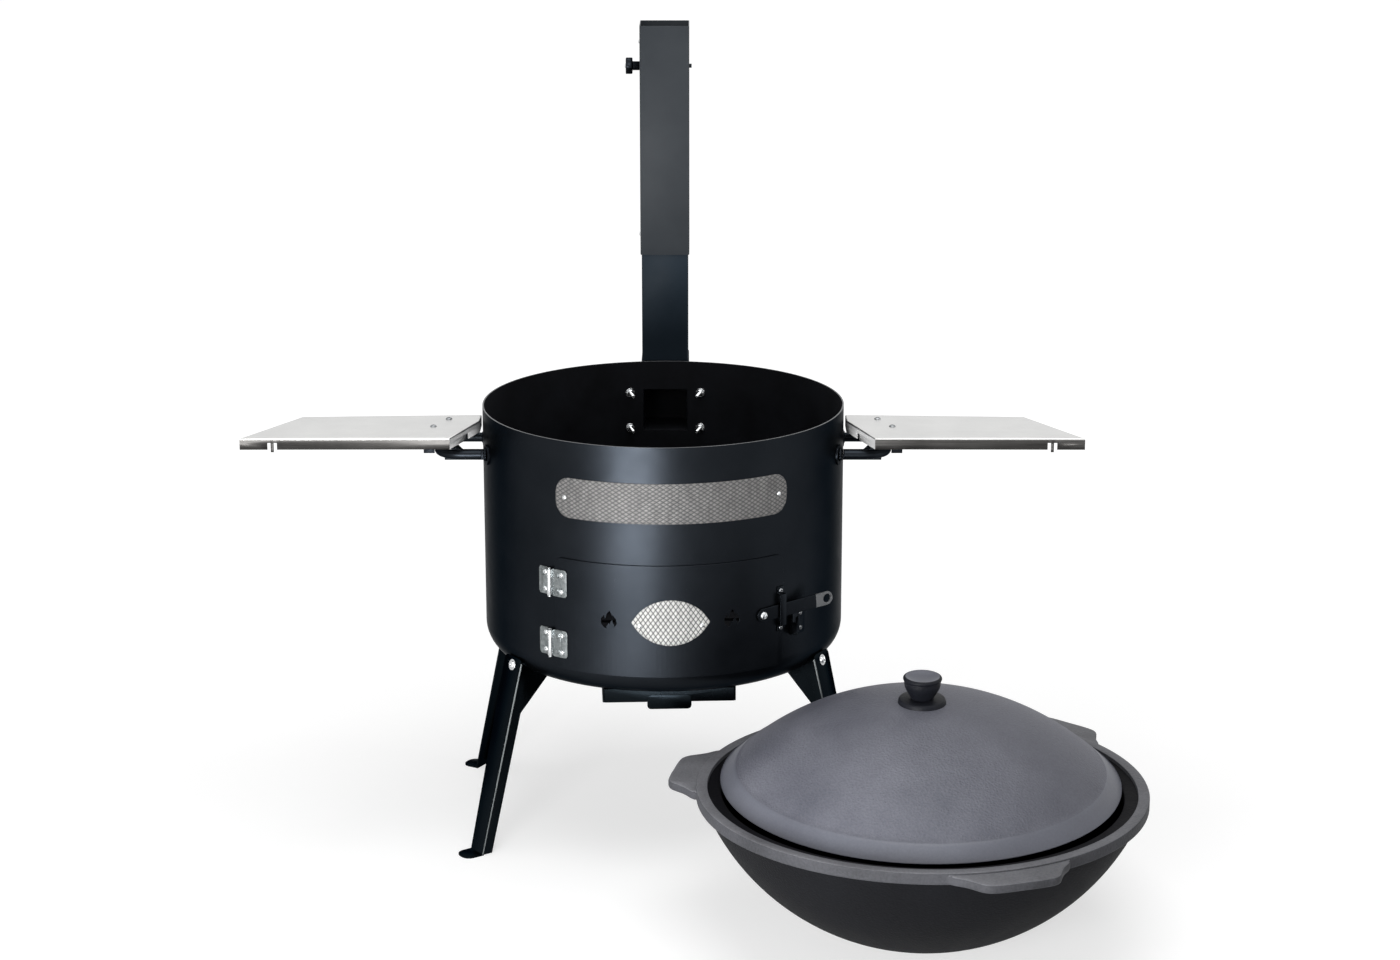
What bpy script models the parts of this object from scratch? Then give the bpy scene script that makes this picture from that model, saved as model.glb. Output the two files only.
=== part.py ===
"""Outdoor cauldron stove with its cast-iron cauldron and lid.

A pressed sheet-steel fire drum stands on four folded legs that are bolted to it.
A curved door with a swing latch opens the fire chamber, and an ash pan runs on rails below it.
A telescopic square chimney carries smoke from the back of the drum.
Two side shelves hang on the drum's round handles.
Lengths are in metres, +Z is up and the stove faces -Y.
The drum's axis is x = y = 0 while the pieces are built, and the whole set is centred at the end.
"""
import math

import bmesh
import bpy
from mathutils import Matrix, Vector

# Shared clearances
FIT = 0.0003
OVERRUN = 0.004
HOLE_OVERRUN = 0.001

# Drum
DRUM_RADIUS = 0.250
DRUM_WALL = 0.002
DRUM_HEIGHT = 0.348
DRUM_BOTTOM_Z = 0.247
DRUM_KNUCKLE = 0.040
DRUM_STEPS = 60
KNUCKLE_STEPS = 4
FRONT_TURN = 2.8

# Openings in the drum
DOORWAY_HALF_ANGLE = 33.0
DOORWAY_RISE = 0.050
DOORWAY_HEIGHT = 0.125
DOORWAY_CORNER = 0.012
ASH_HOLE_SIDE = 0.120
FLUE_HOLE_HALF_WIDTH = 0.0325
FLUE_HOLE_HEIGHT = 0.062
FLUE_HOLE_DROP = 0.042

# Fire grate
GRATE_REACH = 0.025
GRATE_THICKNESS = 0.004
GRATE_SLOT_WIDTH = 0.012
GRATE_SLOT_PITCH = 0.042
GRATE_EDGE = 0.032
GRATE_SLOTS = 9

# Door
DOOR_THICKNESS = 0.002
DOOR_LAP_ANGLE = 4.3
DOOR_LOW_LAP = 0.018
DOOR_TOP_LAP = 0.012
DOOR_CORNER = 0.010
FLAME_ANGLE = 19.0
FLAME_RISE = 0.078
FLAME_WIDTH = 0.023
FLAME_HEIGHT = 0.025
BADGE_HALF_WIDTH = 0.052
BADGE_HALF_HEIGHT = 0.0315
BADGE_RISE = 0.0765
BADGE_THICKNESS = 0.0008
BADGE_RIVET_ANGLE = 9.5
BADGE_RIVET_DROP = 0.0045

# Name plate
NAMEPLATE_HALF_ANGLE = 37.8
NAMEPLATE_MIDDLE = 1.0
NAMEPLATE_HEIGHT = 0.055
NAMEPLATE_DROP = 0.049
NAMEPLATE_CORNER = 0.022
NAMEPLATE_THICKNESS = 0.0008
NAMEPLATE_RIVET_ANGLE = 34.5

# Small rivets of the plates
RIVET_HEAD_RADIUS = 0.0030
RIVET_HEAD_HEIGHT = 0.0014
RIVET_SHANK_RADIUS = 0.0016

# Hinges
HINGE_SET_ANGLE = 1.5
HINGE_UPPER_DROP = 0.0355
HINGE_LOWER_RISE = 0.0345
HINGE_HEIGHT = 0.038
HINGE_LEAF = 0.0015
HINGE_BARREL_RADIUS = 0.003
HINGE_PIN_RADIUS = 0.0014
HINGE_PIN_HEAD = 0.0010
HINGE_LEAF_OUT = 0.0185
HINGE_FIXED_IN = 0.0050
HINGE_DOOR_IN = 0.0010
HINGE_SCREW_OUT = 0.0125
HINGE_SCREW_SPREAD = 0.0105
HINGE_SCREW_RADIUS = 0.0034
HINGE_SCREW_HEIGHT = 0.0016
HINGE_CORNER = 0.003

# Latch lever
LATCH_SET_ANGLE = 7.9
LATCH_RISE = 0.0754
LATCH_LENGTH = 0.103
LATCH_WIDTH = 0.0186
LATCH_THICKNESS = 0.003
LATCH_REST = 3.9
LATCH_LOW = -10.0
LATCH_RING_HOLE = 0.0049
LATCH_HOOK_CLEARANCE = 0.0006
PIVOT_HEAD_RADIUS = 0.0055
PIVOT_HEAD_HEIGHT = 0.0035
PIVOT_SHANK_RADIUS = 0.0030
NUT_SPREAD_SHARE = 1.7

# Latch guide on the door
GUIDE_SET_ANGLE = 1.3
GUIDE_RISE = 0.0036
GUIDE_HALF_HEIGHT = 0.021
GUIDE_SCREW_SPREAD = 0.026
GUIDE_FOOT = 0.011
GUIDE_THICKNESS = 0.0018
GUIDE_WIDTH = 0.010
GUIDE_PLAY = 0.0006

# Latch keeper on the drum
KEEPER_SET_ANGLE = 7.7
KEEPER_DROP = 0.0214
KEEPER_HALF_WIDTH = 0.0095
KEEPER_HALF_HEIGHT = 0.0185
KEEPER_SCREW_SPREAD = 0.0105
KEEPER_THICKNESS = 0.0015
HOOK_SET_ANGLE = 3.4
HOOK_THICKNESS = 0.002
HOOK_LOW_DROP = 0.0364
HOOK_TOP_DROP = 0.0024
HOOK_PRONG_DROP = 0.0084
HOOK_NECK = 0.0064
HOOK_NOTCH = 0.0052
HOOK_PRONG = 0.0055
HOOK_LEAD = 0.003

# Legs
LEG_AZIMUTH = 57.5
LEG_SHEET = 0.002
LEG_TOP_LAP = 0.025
LEG_TOP_WIDTH = 0.042
LEG_FOOT_WIDTH = 0.030
LEG_SPREAD = 0.066
LEG_FLANGE_DEPTH = 0.016
LEG_GUSSET_LAP = 0.021
LEG_GUSSET_DROP = 0.051
LEG_GUSSET_DEPTH = 0.048
LEG_CORNER = 0.006
LEG_TONGUE = 0.025
LEG_TONGUE_CORNER = 0.012
LEG_BOLT_DROP = 0.011
LEG_BRACKET_DEPTH = 0.016
LEG_BRACKET_HEIGHT = 0.026
LEG_BRACKET_WIDTH = 0.026
LEG_BOLT_RADIUS = 0.0055
LEG_BOLT_HEIGHT = 0.0036
LEG_SHANK_RADIUS = 0.0030
GUSSET_INSET_SHARE = 0.1

# Ash pan and its rails
RAIL_HALF_WIDTH = 0.0905
RAIL_SHEET = 0.0015
RAIL_HEIGHT = 0.0236
RAIL_LIP = 0.010
RAIL_FRONT_DEPTH = 0.060
RAIL_BACK_DEPTH = 0.100
PAN_SHEET = 0.0012
PAN_SIDE_ROOM = 0.0010
PAN_FRONT_OUT = 0.006
PAN_BACK_ROOM = 0.046
PAN_HEIGHT = 0.0190
PAN_TAB_WIDTH = 0.060
PAN_TAB_DROP = 0.0084
PAN_TAB_CORNER = 0.005

# Handles
HANDLE_BAR_RADIUS = 0.0065
HANDLE_DROP = 0.057
HANDLE_REACH = 0.058
HANDLE_FRONT_Y = -0.0695
HANDLE_BACK_Y = 0.026
HANDLE_BEND = 0.032
HANDLE_PAD_RADIUS = 0.014
HANDLE_PAD_THICKNESS = 0.002

# Side shelves
SHELF_RISE = 0.0335
SHELF_SHEET = 0.0012
SHELF_SKIRT = 0.016
SHELF_OUT_FRONT_REACH = 0.322
SHELF_OUT_BACK_REACH = 0.252
SHELF_IN_FRONT_REACH = 0.038
SHELF_IN_BACK_REACH = 0.0035
SHELF_OUT_FRONT_Y = -0.110
SHELF_IN_FRONT_Y = -0.108
SHELF_KNEE_Y = -0.014
SHELF_IN_BACK_Y = 0.022
SHELF_OUT_BACK_Y = 0.010
SHELF_BOLT_A_REACH = 0.047
SHELF_BOLT_A_Y = -0.003
SHELF_BOLT_B_REACH = 0.065
SHELF_BOLT_B_Y = -0.045
SHELF_BOLT_RADIUS = 0.0045
SHELF_BOLT_HEIGHT = 0.0022
SHELF_SHANK_RADIUS = 0.0025
OPENER_INSET = 0.042
OPENER_WIDTH = 0.011
OPENER_HEIGHT = 0.009
OPENER_TONGUE_WIDTH = 0.005
OPENER_TONGUE_DROP = 0.005
SKIRT_NOTCH_WIDTH = 0.036
SKIRT_NOTCH_HEIGHT = 0.008
SADDLE_SHEET = 0.0015
SADDLE_OUT_REACH = 0.080
SADDLE_IN_REACH = 0.036
SADDLE_FRONT_Y = -0.0525
SADDLE_BACK_Y = 0.008
SADDLE_WALL_FRONT_Y = -0.036
SADDLE_WALL_BACK_Y = -0.0085
SADDLE_TAIL_DROP = 0.016
SADDLE_TAIL_HEIGHT = 0.008
SADDLE_SLOT_STEPS = 6

# Flue elbow and chimney
CHIMNEY_REACH = 0.040
LOWER_TUBE_SIDE = 0.0676
TUBE_OVERLAP = 0.048
UPPER_TUBE_SIDE = 0.0710
UPPER_TUBE_RISE = 0.157
UPPER_TUBE_LENGTH = 0.331
TUBE_WALL = 0.0012
TUBE_CORNER = 0.0025
ELBOW_SHOULDER = 0.0010
ELBOW_WALL = 0.0020
ELBOW_TOP_DROP = 0.0010
ELBOW_STUB_HEIGHT = 0.045
FLUE_FLANGE_HALF_WIDTH = 0.064
FLUE_FLANGE_MARGIN = 0.013
FLUE_FLANGE_THICKNESS = 0.002
FLUE_BOLT_X = 0.052
FLUE_BOLT_LOW_RISE = 0.005
FLUE_BOLT_TOP_DROP = 0.004
FLUE_BOLT_LENGTH = 0.028
FLUE_BOLT_RADIUS = 0.0050
FLUE_BOLT_HEIGHT = 0.0034
FLUE_SHANK_RADIUS = 0.0024
FLUE_NUT_HEIGHT = 0.0032
CLAMP_SCREW_RISE = 0.0245
SEAM_SCREW_DROP = 0.026
CLAMP_HEAD_RADIUS = 0.0032
CLAMP_HEAD_HEIGHT = 0.0022
CLAMP_SHANK_RADIUS = 0.0018

# Damper
DAMPER_DROP = 0.061
DAMPER_SHAFT_RADIUS = 0.003
DAMPER_PLATE_HALF = 0.0310
DAMPER_PLATE_THICKNESS = 0.0015
DAMPER_SHAFT_END = 0.0035
KNOB_RADIUS = 0.0125
KNOB_THICKNESS = 0.0096
KNOB_STEM_RADIUS = 0.0065
KNOB_STEM_LENGTH = 0.0105
KNOB_LOBES = 6
KNOB_LOBE_DEPTH_SHARE = 0.15

# Cauldron
POT_BEARING = 37.473
POT_GAP = 0.01163
POT_RIM_RADIUS = 0.289
POT_RIM_Z = 0.198
POT_RIM_SIDE = 0.015
POT_RIM_FACE = 0.0145
POT_LEDGE_DROP = 0.006
POT_LEDGE_WIDTH = 0.0175
POT_BELLY = 0.014
POT_FOOT_RADIUS = 0.060
POT_WALL = 0.006
POT_STEPS = 48
POT_ARC_STEPS = 7
LUG_ANGLES = (-72.0, 48.0, 168.0)
LUG_REACH = 0.0405
LUG_HALF_WIDTH = 0.080
LUG_ROOT_DEPTH = 0.0128
LUG_THICKNESS = 0.0115
LUG_DROP = 0.0022
LUG_OUT_SHARES = (0.0, 0.22, 0.42, 0.64, 0.84, 0.96, 1.0)
LUG_WIDTH_SHARES = (1.0, 0.90, 0.70, 0.56, 0.47, 0.36, 0.20)

# Lid
LID_LAP = 0.001
LID_HEIGHT = 0.110
LID_WALL = 0.005
LID_SHIFT = 0.030
LID_ARC_STEPS = 6
COLLAR_RADIUS = 0.030
COLLAR_HEIGHT = 0.004
LID_KNOB_HEIGHT = 0.034
LID_KNOB_NECK = 0.0145
LID_KNOB_RADIUS = 0.025
LID_KNOB_CUP = 0.011
LID_KNOB_HOLLOW = 0.004
LID_STUD_RADIUS = 0.0040
LID_NUT_RADIUS = 0.0085
LID_NUT_HEIGHT = 0.0060
LID_KNOB_STEPS = 20

# Sizes that follow from the ones above
DRUM_RIM_Z = DRUM_BOTTOM_Z + DRUM_HEIGHT
DOORWAY_LOW_Z = DRUM_BOTTOM_Z + DOORWAY_RISE
DOORWAY_TOP_Z = DOORWAY_LOW_Z + DOORWAY_HEIGHT
FLUE_HOLE_TOP_Z = DRUM_RIM_Z - FLUE_HOLE_DROP
FLUE_HOLE_LOW_Z = FLUE_HOLE_TOP_Z - FLUE_HOLE_HEIGHT
DOOR_HALF_ANGLE = DOORWAY_HALF_ANGLE + DOOR_LAP_ANGLE
DOOR_LOW_Z = DOORWAY_LOW_Z - DOOR_LOW_LAP
DOOR_TOP_Z = DOORWAY_TOP_Z + DOOR_TOP_LAP
FLAME_Z = DOOR_LOW_Z + FLAME_RISE
BADGE_Z = DOOR_LOW_Z + BADGE_RISE
BADGE_RIVET_Z = BADGE_Z - BADGE_RIVET_DROP
NAMEPLATE_TOP_Z = DRUM_RIM_Z - NAMEPLATE_DROP
NAMEPLATE_LOW_Z = NAMEPLATE_TOP_Z - NAMEPLATE_HEIGHT
HINGE_ANGLE = -DOOR_HALF_ANGLE - HINGE_SET_ANGLE
HINGE_UPPER_Z = DOOR_TOP_Z - HINGE_UPPER_DROP
HINGE_LOWER_Z = DOOR_LOW_Z + HINGE_LOWER_RISE
LATCH_ANGLE = DOOR_HALF_ANGLE - LATCH_SET_ANGLE
LATCH_Z = DOOR_LOW_Z + LATCH_RISE
GUIDE_ANGLE = DOOR_HALF_ANGLE - GUIDE_SET_ANGLE
GUIDE_Z = LATCH_Z + GUIDE_RISE
KEEPER_ANGLE = DOOR_HALF_ANGLE + KEEPER_SET_ANGLE
KEEPER_Z = LATCH_Z - KEEPER_DROP
HOOK_ANGLE = DOOR_HALF_ANGLE + HOOK_SET_ANGLE
HOOK_LOW_Z = LATCH_Z - HOOK_LOW_DROP
HOOK_TOP_Z = LATCH_Z - HOOK_TOP_DROP
HOOK_PRONG_TOP_Z = LATCH_Z - HOOK_PRONG_DROP
LEG_TOP_Z = DRUM_BOTTOM_Z + LEG_TOP_LAP
LEG_GUSSET_TOP_Z = DRUM_BOTTOM_Z + LEG_GUSSET_LAP
LEG_GUSSET_START_Z = DRUM_BOTTOM_Z - LEG_GUSSET_DROP
RAIL_LOW_Z = DRUM_BOTTOM_Z - RAIL_HEIGHT
PAN_TAB_LOW_Z = RAIL_LOW_Z - PAN_TAB_DROP
HANDLE_Z = DRUM_RIM_Z - HANDLE_DROP
SHELF_TOP_Z = HANDLE_Z + SHELF_RISE
SADDLE_TAIL_LOW_Z = HANDLE_Z - SADDLE_TAIL_DROP
UPPER_TUBE_LOW_Z = DRUM_RIM_Z + UPPER_TUBE_RISE
LOWER_TUBE_TOP_Z = UPPER_TUBE_LOW_Z + TUBE_OVERLAP
UPPER_TUBE_TOP_Z = UPPER_TUBE_LOW_Z + UPPER_TUBE_LENGTH
FLUE_BOLT_LOW_Z = FLUE_HOLE_LOW_Z + FLUE_BOLT_LOW_RISE
FLUE_BOLT_TOP_Z = FLUE_HOLE_TOP_Z - FLUE_BOLT_TOP_DROP
CLAMP_SCREW_Z = UPPER_TUBE_LOW_Z + CLAMP_SCREW_RISE
SEAM_SCREW_Z = UPPER_TUBE_TOP_Z - SEAM_SCREW_DROP
DAMPER_Z = UPPER_TUBE_TOP_Z - DAMPER_DROP
STEP_ANGLE = math.radians(360.0 / DRUM_STEPS)
FLAT_SHARE = math.cos(0.5 * STEP_ANGLE)
WALL_INSIDE = (DRUM_RADIUS - DRUM_WALL) * FLAT_SHARE
PLATE_RADIUS = DRUM_RADIUS + FIT
DOOR_OUTER = PLATE_RADIUS + DOOR_THICKNESS
HINGE_AXIS_RADIUS = DOOR_OUTER + FIT + HINGE_BARREL_RADIUS
KNUCKLE_RING = DRUM_RADIUS - DRUM_KNUCKLE
KNUCKLE_Z = DRUM_BOTTOM_Z + DRUM_KNUCKLE
BACK = 180.0 - FRONT_TURN
RAIL_FRONT_Y = RAIL_FRONT_DEPTH - DRUM_RADIUS
RAIL_BACK_Y = DRUM_RADIUS - RAIL_BACK_DEPTH
HANDLE_OUT = DRUM_RADIUS + HANDLE_REACH
SHELF_OUT_FRONT_X = DRUM_RADIUS + SHELF_OUT_FRONT_REACH
SHELF_OUT_BACK_X = DRUM_RADIUS + SHELF_OUT_BACK_REACH
SHELF_IN_FRONT_X = DRUM_RADIUS + SHELF_IN_FRONT_REACH
SHELF_IN_BACK_X = DRUM_RADIUS + SHELF_IN_BACK_REACH
SHELF_BOLT_A_X = DRUM_RADIUS + SHELF_BOLT_A_REACH
SHELF_BOLT_B_X = DRUM_RADIUS + SHELF_BOLT_B_REACH
OPENER_X = SHELF_OUT_FRONT_X - OPENER_INSET
SADDLE_OUT_X = DRUM_RADIUS + SADDLE_OUT_REACH
SADDLE_IN_X = DRUM_RADIUS + SADDLE_IN_REACH
CHIMNEY_Y = DRUM_RADIUS + CHIMNEY_REACH
POT_DISTANCE = DRUM_RADIUS + POT_GAP + POT_RIM_RADIUS
POT_X = POT_DISTANCE * math.sin(math.radians(POT_BEARING))
POT_Y = -POT_DISTANCE * math.cos(math.radians(POT_BEARING))
POT_SPHERE_RADIUS = POT_RIM_RADIUS + POT_BELLY
POT_LEDGE_RADIUS = POT_RIM_RADIUS - POT_RIM_FACE - POT_LEDGE_WIDTH
LUG_TIP_RADIUS = POT_RIM_RADIUS + LUG_REACH
LID_RADIUS = POT_LEDGE_RADIUS + LID_LAP
LEG_SPLAY = LEG_SPREAD / LEG_TOP_Z

for old in list(bpy.data.objects):
    bpy.data.objects.remove(old, do_unlink=True)


def material(name, color, roughness, metallic):
    """Principled material of one finish."""
    made = bpy.data.materials.new(name)
    made.use_nodes = True
    shader = made.node_tree.nodes["Principled BSDF"]
    shader.inputs["Base Color"].default_value = (color[0], color[1], color[2], 1.0)
    shader.inputs["Roughness"].default_value = roughness
    shader.inputs["Metallic"].default_value = metallic
    made.diffuse_color = (color[0], color[1], color[2], 1.0)
    return made


BLACK = material("satin_black_enamel", (0.012, 0.014, 0.016), 0.45, 0.0)
STAINLESS = material("embossed_stainless", (0.62, 0.62, 0.62), 0.32, 1.0)
BRIGHT = material("brushed_shelf_steel", (0.75, 0.75, 0.74), 0.30, 1.0)
ZINC = material("zinc_fasteners", (0.70, 0.71, 0.72), 0.30, 1.0)
IRON = material("cast_iron", (0.030, 0.034, 0.042), 0.62, 0.3)

ROOT = bpy.data.objects.new("stove_root", None)
bpy.context.collection.objects.link(ROOT)
PIVOTS = {None: Vector((0.0, 0.0, 0.0))}
EMPTIES = {None: ROOT}


def pivot(name, position, parent=None):
    """Empty on a joint's axis that carries the pieces of one moving body."""
    empty = bpy.data.objects.new(name, None)
    bpy.context.collection.objects.link(empty)
    empty.parent = EMPTIES[parent]
    empty.location = Vector(position) - PIVOTS[parent]
    PIVOTS[name] = Vector(position)
    EMPTIES[name] = empty


def put(name, shape, finish, body=None, smooth=True):
    """Object from a bmesh that is drawn in the stove's frame."""
    shape.transform(Matrix.Translation(-PIVOTS[body]))
    bmesh.ops.recalc_face_normals(shape, faces=shape.faces[:])
    mesh = bpy.data.meshes.new(name)
    shape.to_mesh(mesh)
    shape.free()
    mesh.materials.append(finish)
    if smooth:
        mesh.shade_smooth()
        mesh.set_sharp_from_angle(angle=math.radians(30.0))
    made = bpy.data.objects.new(name, mesh)
    bpy.context.collection.objects.link(made)
    made.parent = EMPTIES[body]
    return made


def tool(name, shape, body=None):
    """Hidden object that cuts or joins others."""
    made = put(name, shape, BLACK, body, smooth=False)
    made.hide_render = True
    made.display_type = 'WIRE'
    return made


def combine(target, other, operation):
    """Boolean of one object with a hidden tool."""
    step = target.modifiers.new(operation.lower() + "_" + other.name, 'BOOLEAN')
    step.operation = operation
    step.object = other
    step.solver = 'EXACT'


def plate(outline, holes, thickness):
    """Closed flat plate drawn in x and y, from z = 0 to its thickness."""
    shape = bmesh.new()
    for loop in [outline] + holes:
        verts = [shape.verts.new((x, y, 0.0)) for x, y in loop]
        for index, vert in enumerate(verts):
            shape.edges.new((vert, verts[(index + 1) % len(verts)]))
    bmesh.ops.triangle_fill(shape, use_beauty=True, use_dissolve=False, edges=shape.edges[:])
    raised = bmesh.ops.extrude_face_region(shape, geom=shape.faces[:])
    moved = [item for item in raised["geom"] if isinstance(item, bmesh.types.BMVert)]
    bmesh.ops.translate(shape, vec=(0.0, 0.0, thickness), verts=moved)
    return shape


def block(low, high):
    """Closed box between two corners."""
    shape = bmesh.new()
    bmesh.ops.create_cube(shape, size=1.0)
    size = Vector(high) - Vector(low)
    shape.transform(Matrix.Translation((Vector(low) + Vector(high)) / 2.0) @ Matrix.Diagonal(size.to_4d()))
    return shape


def loft(rings):
    """Closed skin through rings of equal point counts, with flat ends."""
    shape = bmesh.new()
    rows = [[shape.verts.new(point) for point in ring] for ring in rings]
    count = len(rows[0])
    for lower, upper in zip(rows, rows[1:]):
        for index in range(count):
            after = (index + 1) % count
            shape.faces.new((lower[index], lower[after], upper[after], upper[index]))
    shape.faces.new(rows[0][::-1])
    shape.faces.new(rows[-1])
    return shape


def lathe(profile, steps, closed=False, turn=0.0):
    """Profile of (radius, height) points turned about the z axis."""
    shape = bmesh.new()
    rows = []
    for radius, height in profile:
        row = []
        for index in range(steps):
            angle = turn + 2.0 * math.pi * index / steps
            row.append(shape.verts.new((radius * math.cos(angle), radius * math.sin(angle), height)))
        rows.append(row)
    pairs = list(zip(rows, rows[1:]))
    if closed:
        pairs.append((rows[-1], rows[0]))
    for lower, upper in pairs:
        for index in range(steps):
            after = (index + 1) % steps
            shape.faces.new((lower[index], lower[after], upper[after], upper[index]))
    if not closed:
        shape.faces.new(rows[0][::-1])
        shape.faces.new(rows[-1])
    return shape


def join(first, *others):
    """One bmesh that holds several shapes."""
    for other in others:
        mesh = bpy.data.meshes.new("joined")
        other.to_mesh(mesh)
        other.free()
        first.from_mesh(mesh)
        bpy.data.meshes.remove(mesh)
    return first


def circle(x, y, radius, steps=12):
    """Points of a circle."""
    turns = [2.0 * math.pi * index / steps for index in range(steps)]
    return [(x + radius * math.cos(turn), y + radius * math.sin(turn)) for turn in turns]


def rounded(x0, y0, x1, y1, radius, steps=3):
    """Rectangle with round corners, counter-clockwise."""
    points = []
    centres = ((x1 - radius, y1 - radius), (x0 + radius, y1 - radius),
               (x0 + radius, y0 + radius), (x1 - radius, y0 + radius))
    for corner, (x, y) in enumerate(centres):
        for index in range(steps + 1):
            angle = math.radians(90.0) * (corner + index / steps)
            points.append((x + radius * math.cos(angle), y + radius * math.sin(angle)))
    return points


def arc(x, y, radius, start, end, steps):
    """Points of an arc between two angles in degrees."""
    points = []
    for index in range(steps + 1):
        angle = math.radians(start + (end - start) * index / steps)
        points.append((x + radius * math.cos(angle), y + radius * math.sin(angle)))
    return points


def wrap(shape, middle):
    """Bend a flat plate round the drum: x runs along the wall, y is height, z lies outwards."""
    offset = math.radians(middle)
    reach = max(abs(vert.co.x) for vert in shape.verts) / PLATE_RADIUS
    first = math.ceil((offset - reach) / STEP_ANGLE)
    last = math.floor((offset + reach) / STEP_ANGLE)
    for number in range(first, last + 1):
        x = (number * STEP_ANGLE - offset) * PLATE_RADIUS
        everything = shape.verts[:] + shape.edges[:] + shape.faces[:]
        bmesh.ops.bisect_plane(shape, geom=everything, plane_co=(x, 0.0, 0.0), plane_no=(1.0, 0.0, 0.0))
    for vert in shape.verts:
        angle = offset + vert.co.x / PLATE_RADIUS
        facet = (math.floor(angle / STEP_ANGLE) + 0.5) * STEP_ANGLE
        radius = (PLATE_RADIUS + vert.co.z) * FLAT_SHARE / math.cos(angle - facet)
        turned = angle + math.radians(FRONT_TURN)
        vert.co = (radius * math.sin(turned), -radius * math.cos(turned), vert.co.y)
    return shape


def along_wall(degrees):
    """Length along the drum's wall of an angle in degrees."""
    return math.radians(degrees) * PLATE_RADIUS


def frame(origin, out, up):
    """Matrix with z along out and y along up."""
    out = Vector(out).normalized()
    up = Vector(up).normalized()
    side = up.cross(out)
    turn = Matrix((side, up, out)).transposed().to_4x4()
    return Matrix.Translation(origin) @ turn


def wall_frame(degrees, radius, height):
    """Frame on the drum's wall: x along it, y up, z outwards."""
    angle = math.radians(degrees + FRONT_TURN)
    out = Vector((math.sin(angle), -math.cos(angle), 0.0))
    return frame(out * radius + Vector((0.0, 0.0, height)), out, (0.0, 0.0, 1.0))


BOLT_HOLES = {}


def drill(group, matrix, radius, depth):
    """Note a hole that every piece of one bolted stack gets."""
    hole = lathe([(radius, -depth - HOLE_OVERRUN), (radius, HOLE_OVERRUN)], 8)
    hole.transform(matrix)
    if group in BOLT_HOLES:
        join(BOLT_HOLES[group], hole)
    else:
        BOLT_HOLES[group] = hole


def fastener(matrix, head, shank, grip, nut=None, sides=8, tail=0.0):
    """Screw with a domed head above z = 0, its shank below and an optional nut."""
    rows = [(0.6 * head[0], head[1]), (head[0], 0.45 * head[1]), (head[0], 0.0), (shank, 0.0)]
    rows.append((shank, -grip))
    if nut:
        rows += [(nut[0], -grip), (nut[0], -grip - nut[1])]
    if tail:
        rows += [(shank, -grip - nut[1]), (shank, -grip - nut[1] - tail)]
    shape = lathe(rows, sides)
    shape.transform(matrix)
    return shape


def fasteners(names, group, places, head, shank, grip, body=None, nut=None, sides=8, tail=0.0):
    """Equal screws, with their holes noted for the pieces that they hold."""
    for name, matrix in zip(names, places):
        put(name, fastener(matrix, head, shank, grip, nut, sides, tail), ZINC, body)
        drill(group, matrix, shank + FIT, grip)


def studs(target, group, places, head, shank, grip, body=None):
    """Rivets that are one with the plate that carries them, with their holes noted for what lies behind."""
    shapes = []
    for matrix in places:
        sunk = matrix @ Matrix.Translation((0.0, 0.0, -2.0 * FIT))
        shapes.append(fastener(sunk, head, shank, grip - 2.0 * FIT))
        drill(group, matrix, shank + FIT, grip)
    combine(target, tool(target.name + "_rivets", join(*shapes), body), 'UNION')


def knuckle_profile(offset):
    """Outer line of the drum from the flat bottom up to the rim, moved outwards by an offset."""
    points = []
    for index in range(KNUCKLE_STEPS + 1):
        angle = math.radians(-90.0 + 90.0 * index / KNUCKLE_STEPS)
        reach = DRUM_KNUCKLE + offset
        points.append((KNUCKLE_RING + reach * math.cos(angle), KNUCKLE_Z + reach * math.sin(angle)))
    return points


# Drum
DRUM_TURN = math.radians(FRONT_TURN - 90.0)
outer = knuckle_profile(0.0) + [(DRUM_RADIUS, DRUM_RIM_Z)]
inner = [(DRUM_RADIUS - DRUM_WALL, DRUM_RIM_Z)] + knuckle_profile(-DRUM_WALL)[::-1]
drum = put("drum_shell", lathe(outer + inner, DRUM_STEPS, turn=DRUM_TURN), BLACK)
space = knuckle_profile(FIT) + [(PLATE_RADIUS, DRUM_RIM_Z + OVERRUN)]
drum_space = tool("drum_space", lathe(space, DRUM_STEPS, turn=DRUM_TURN))

doorway_half = DRUM_RADIUS * math.sin(math.radians(DOORWAY_HALF_ANGLE))
doorway = plate(rounded(-doorway_half, DOORWAY_LOW_Z, doorway_half, DOORWAY_TOP_Z, DOORWAY_CORNER), [],
                0.5 * DRUM_RADIUS)
doorway.transform(wall_frame(0.0, 0.6 * DRUM_RADIUS, 0.0))
flue_hole = block((-FLUE_HOLE_HALF_WIDTH, 0.5 * DRUM_RADIUS, FLUE_HOLE_LOW_Z),
                  (FLUE_HOLE_HALF_WIDTH, DRUM_RADIUS + OVERRUN, FLUE_HOLE_TOP_Z))
ash_hole = plate(rounded(-0.5 * ASH_HOLE_SIDE, -0.5 * ASH_HOLE_SIDE, 0.5 * ASH_HOLE_SIDE, 0.5 * ASH_HOLE_SIDE,
                         DOORWAY_CORNER), [], DRUM_WALL + 2.0 * OVERRUN)
ash_hole.transform(Matrix.Translation((0.0, 0.0, DRUM_BOTTOM_Z - OVERRUN)))
combine(drum, tool("drum_openings", join(doorway, flue_hole, ash_hole)), 'DIFFERENCE')

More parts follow.
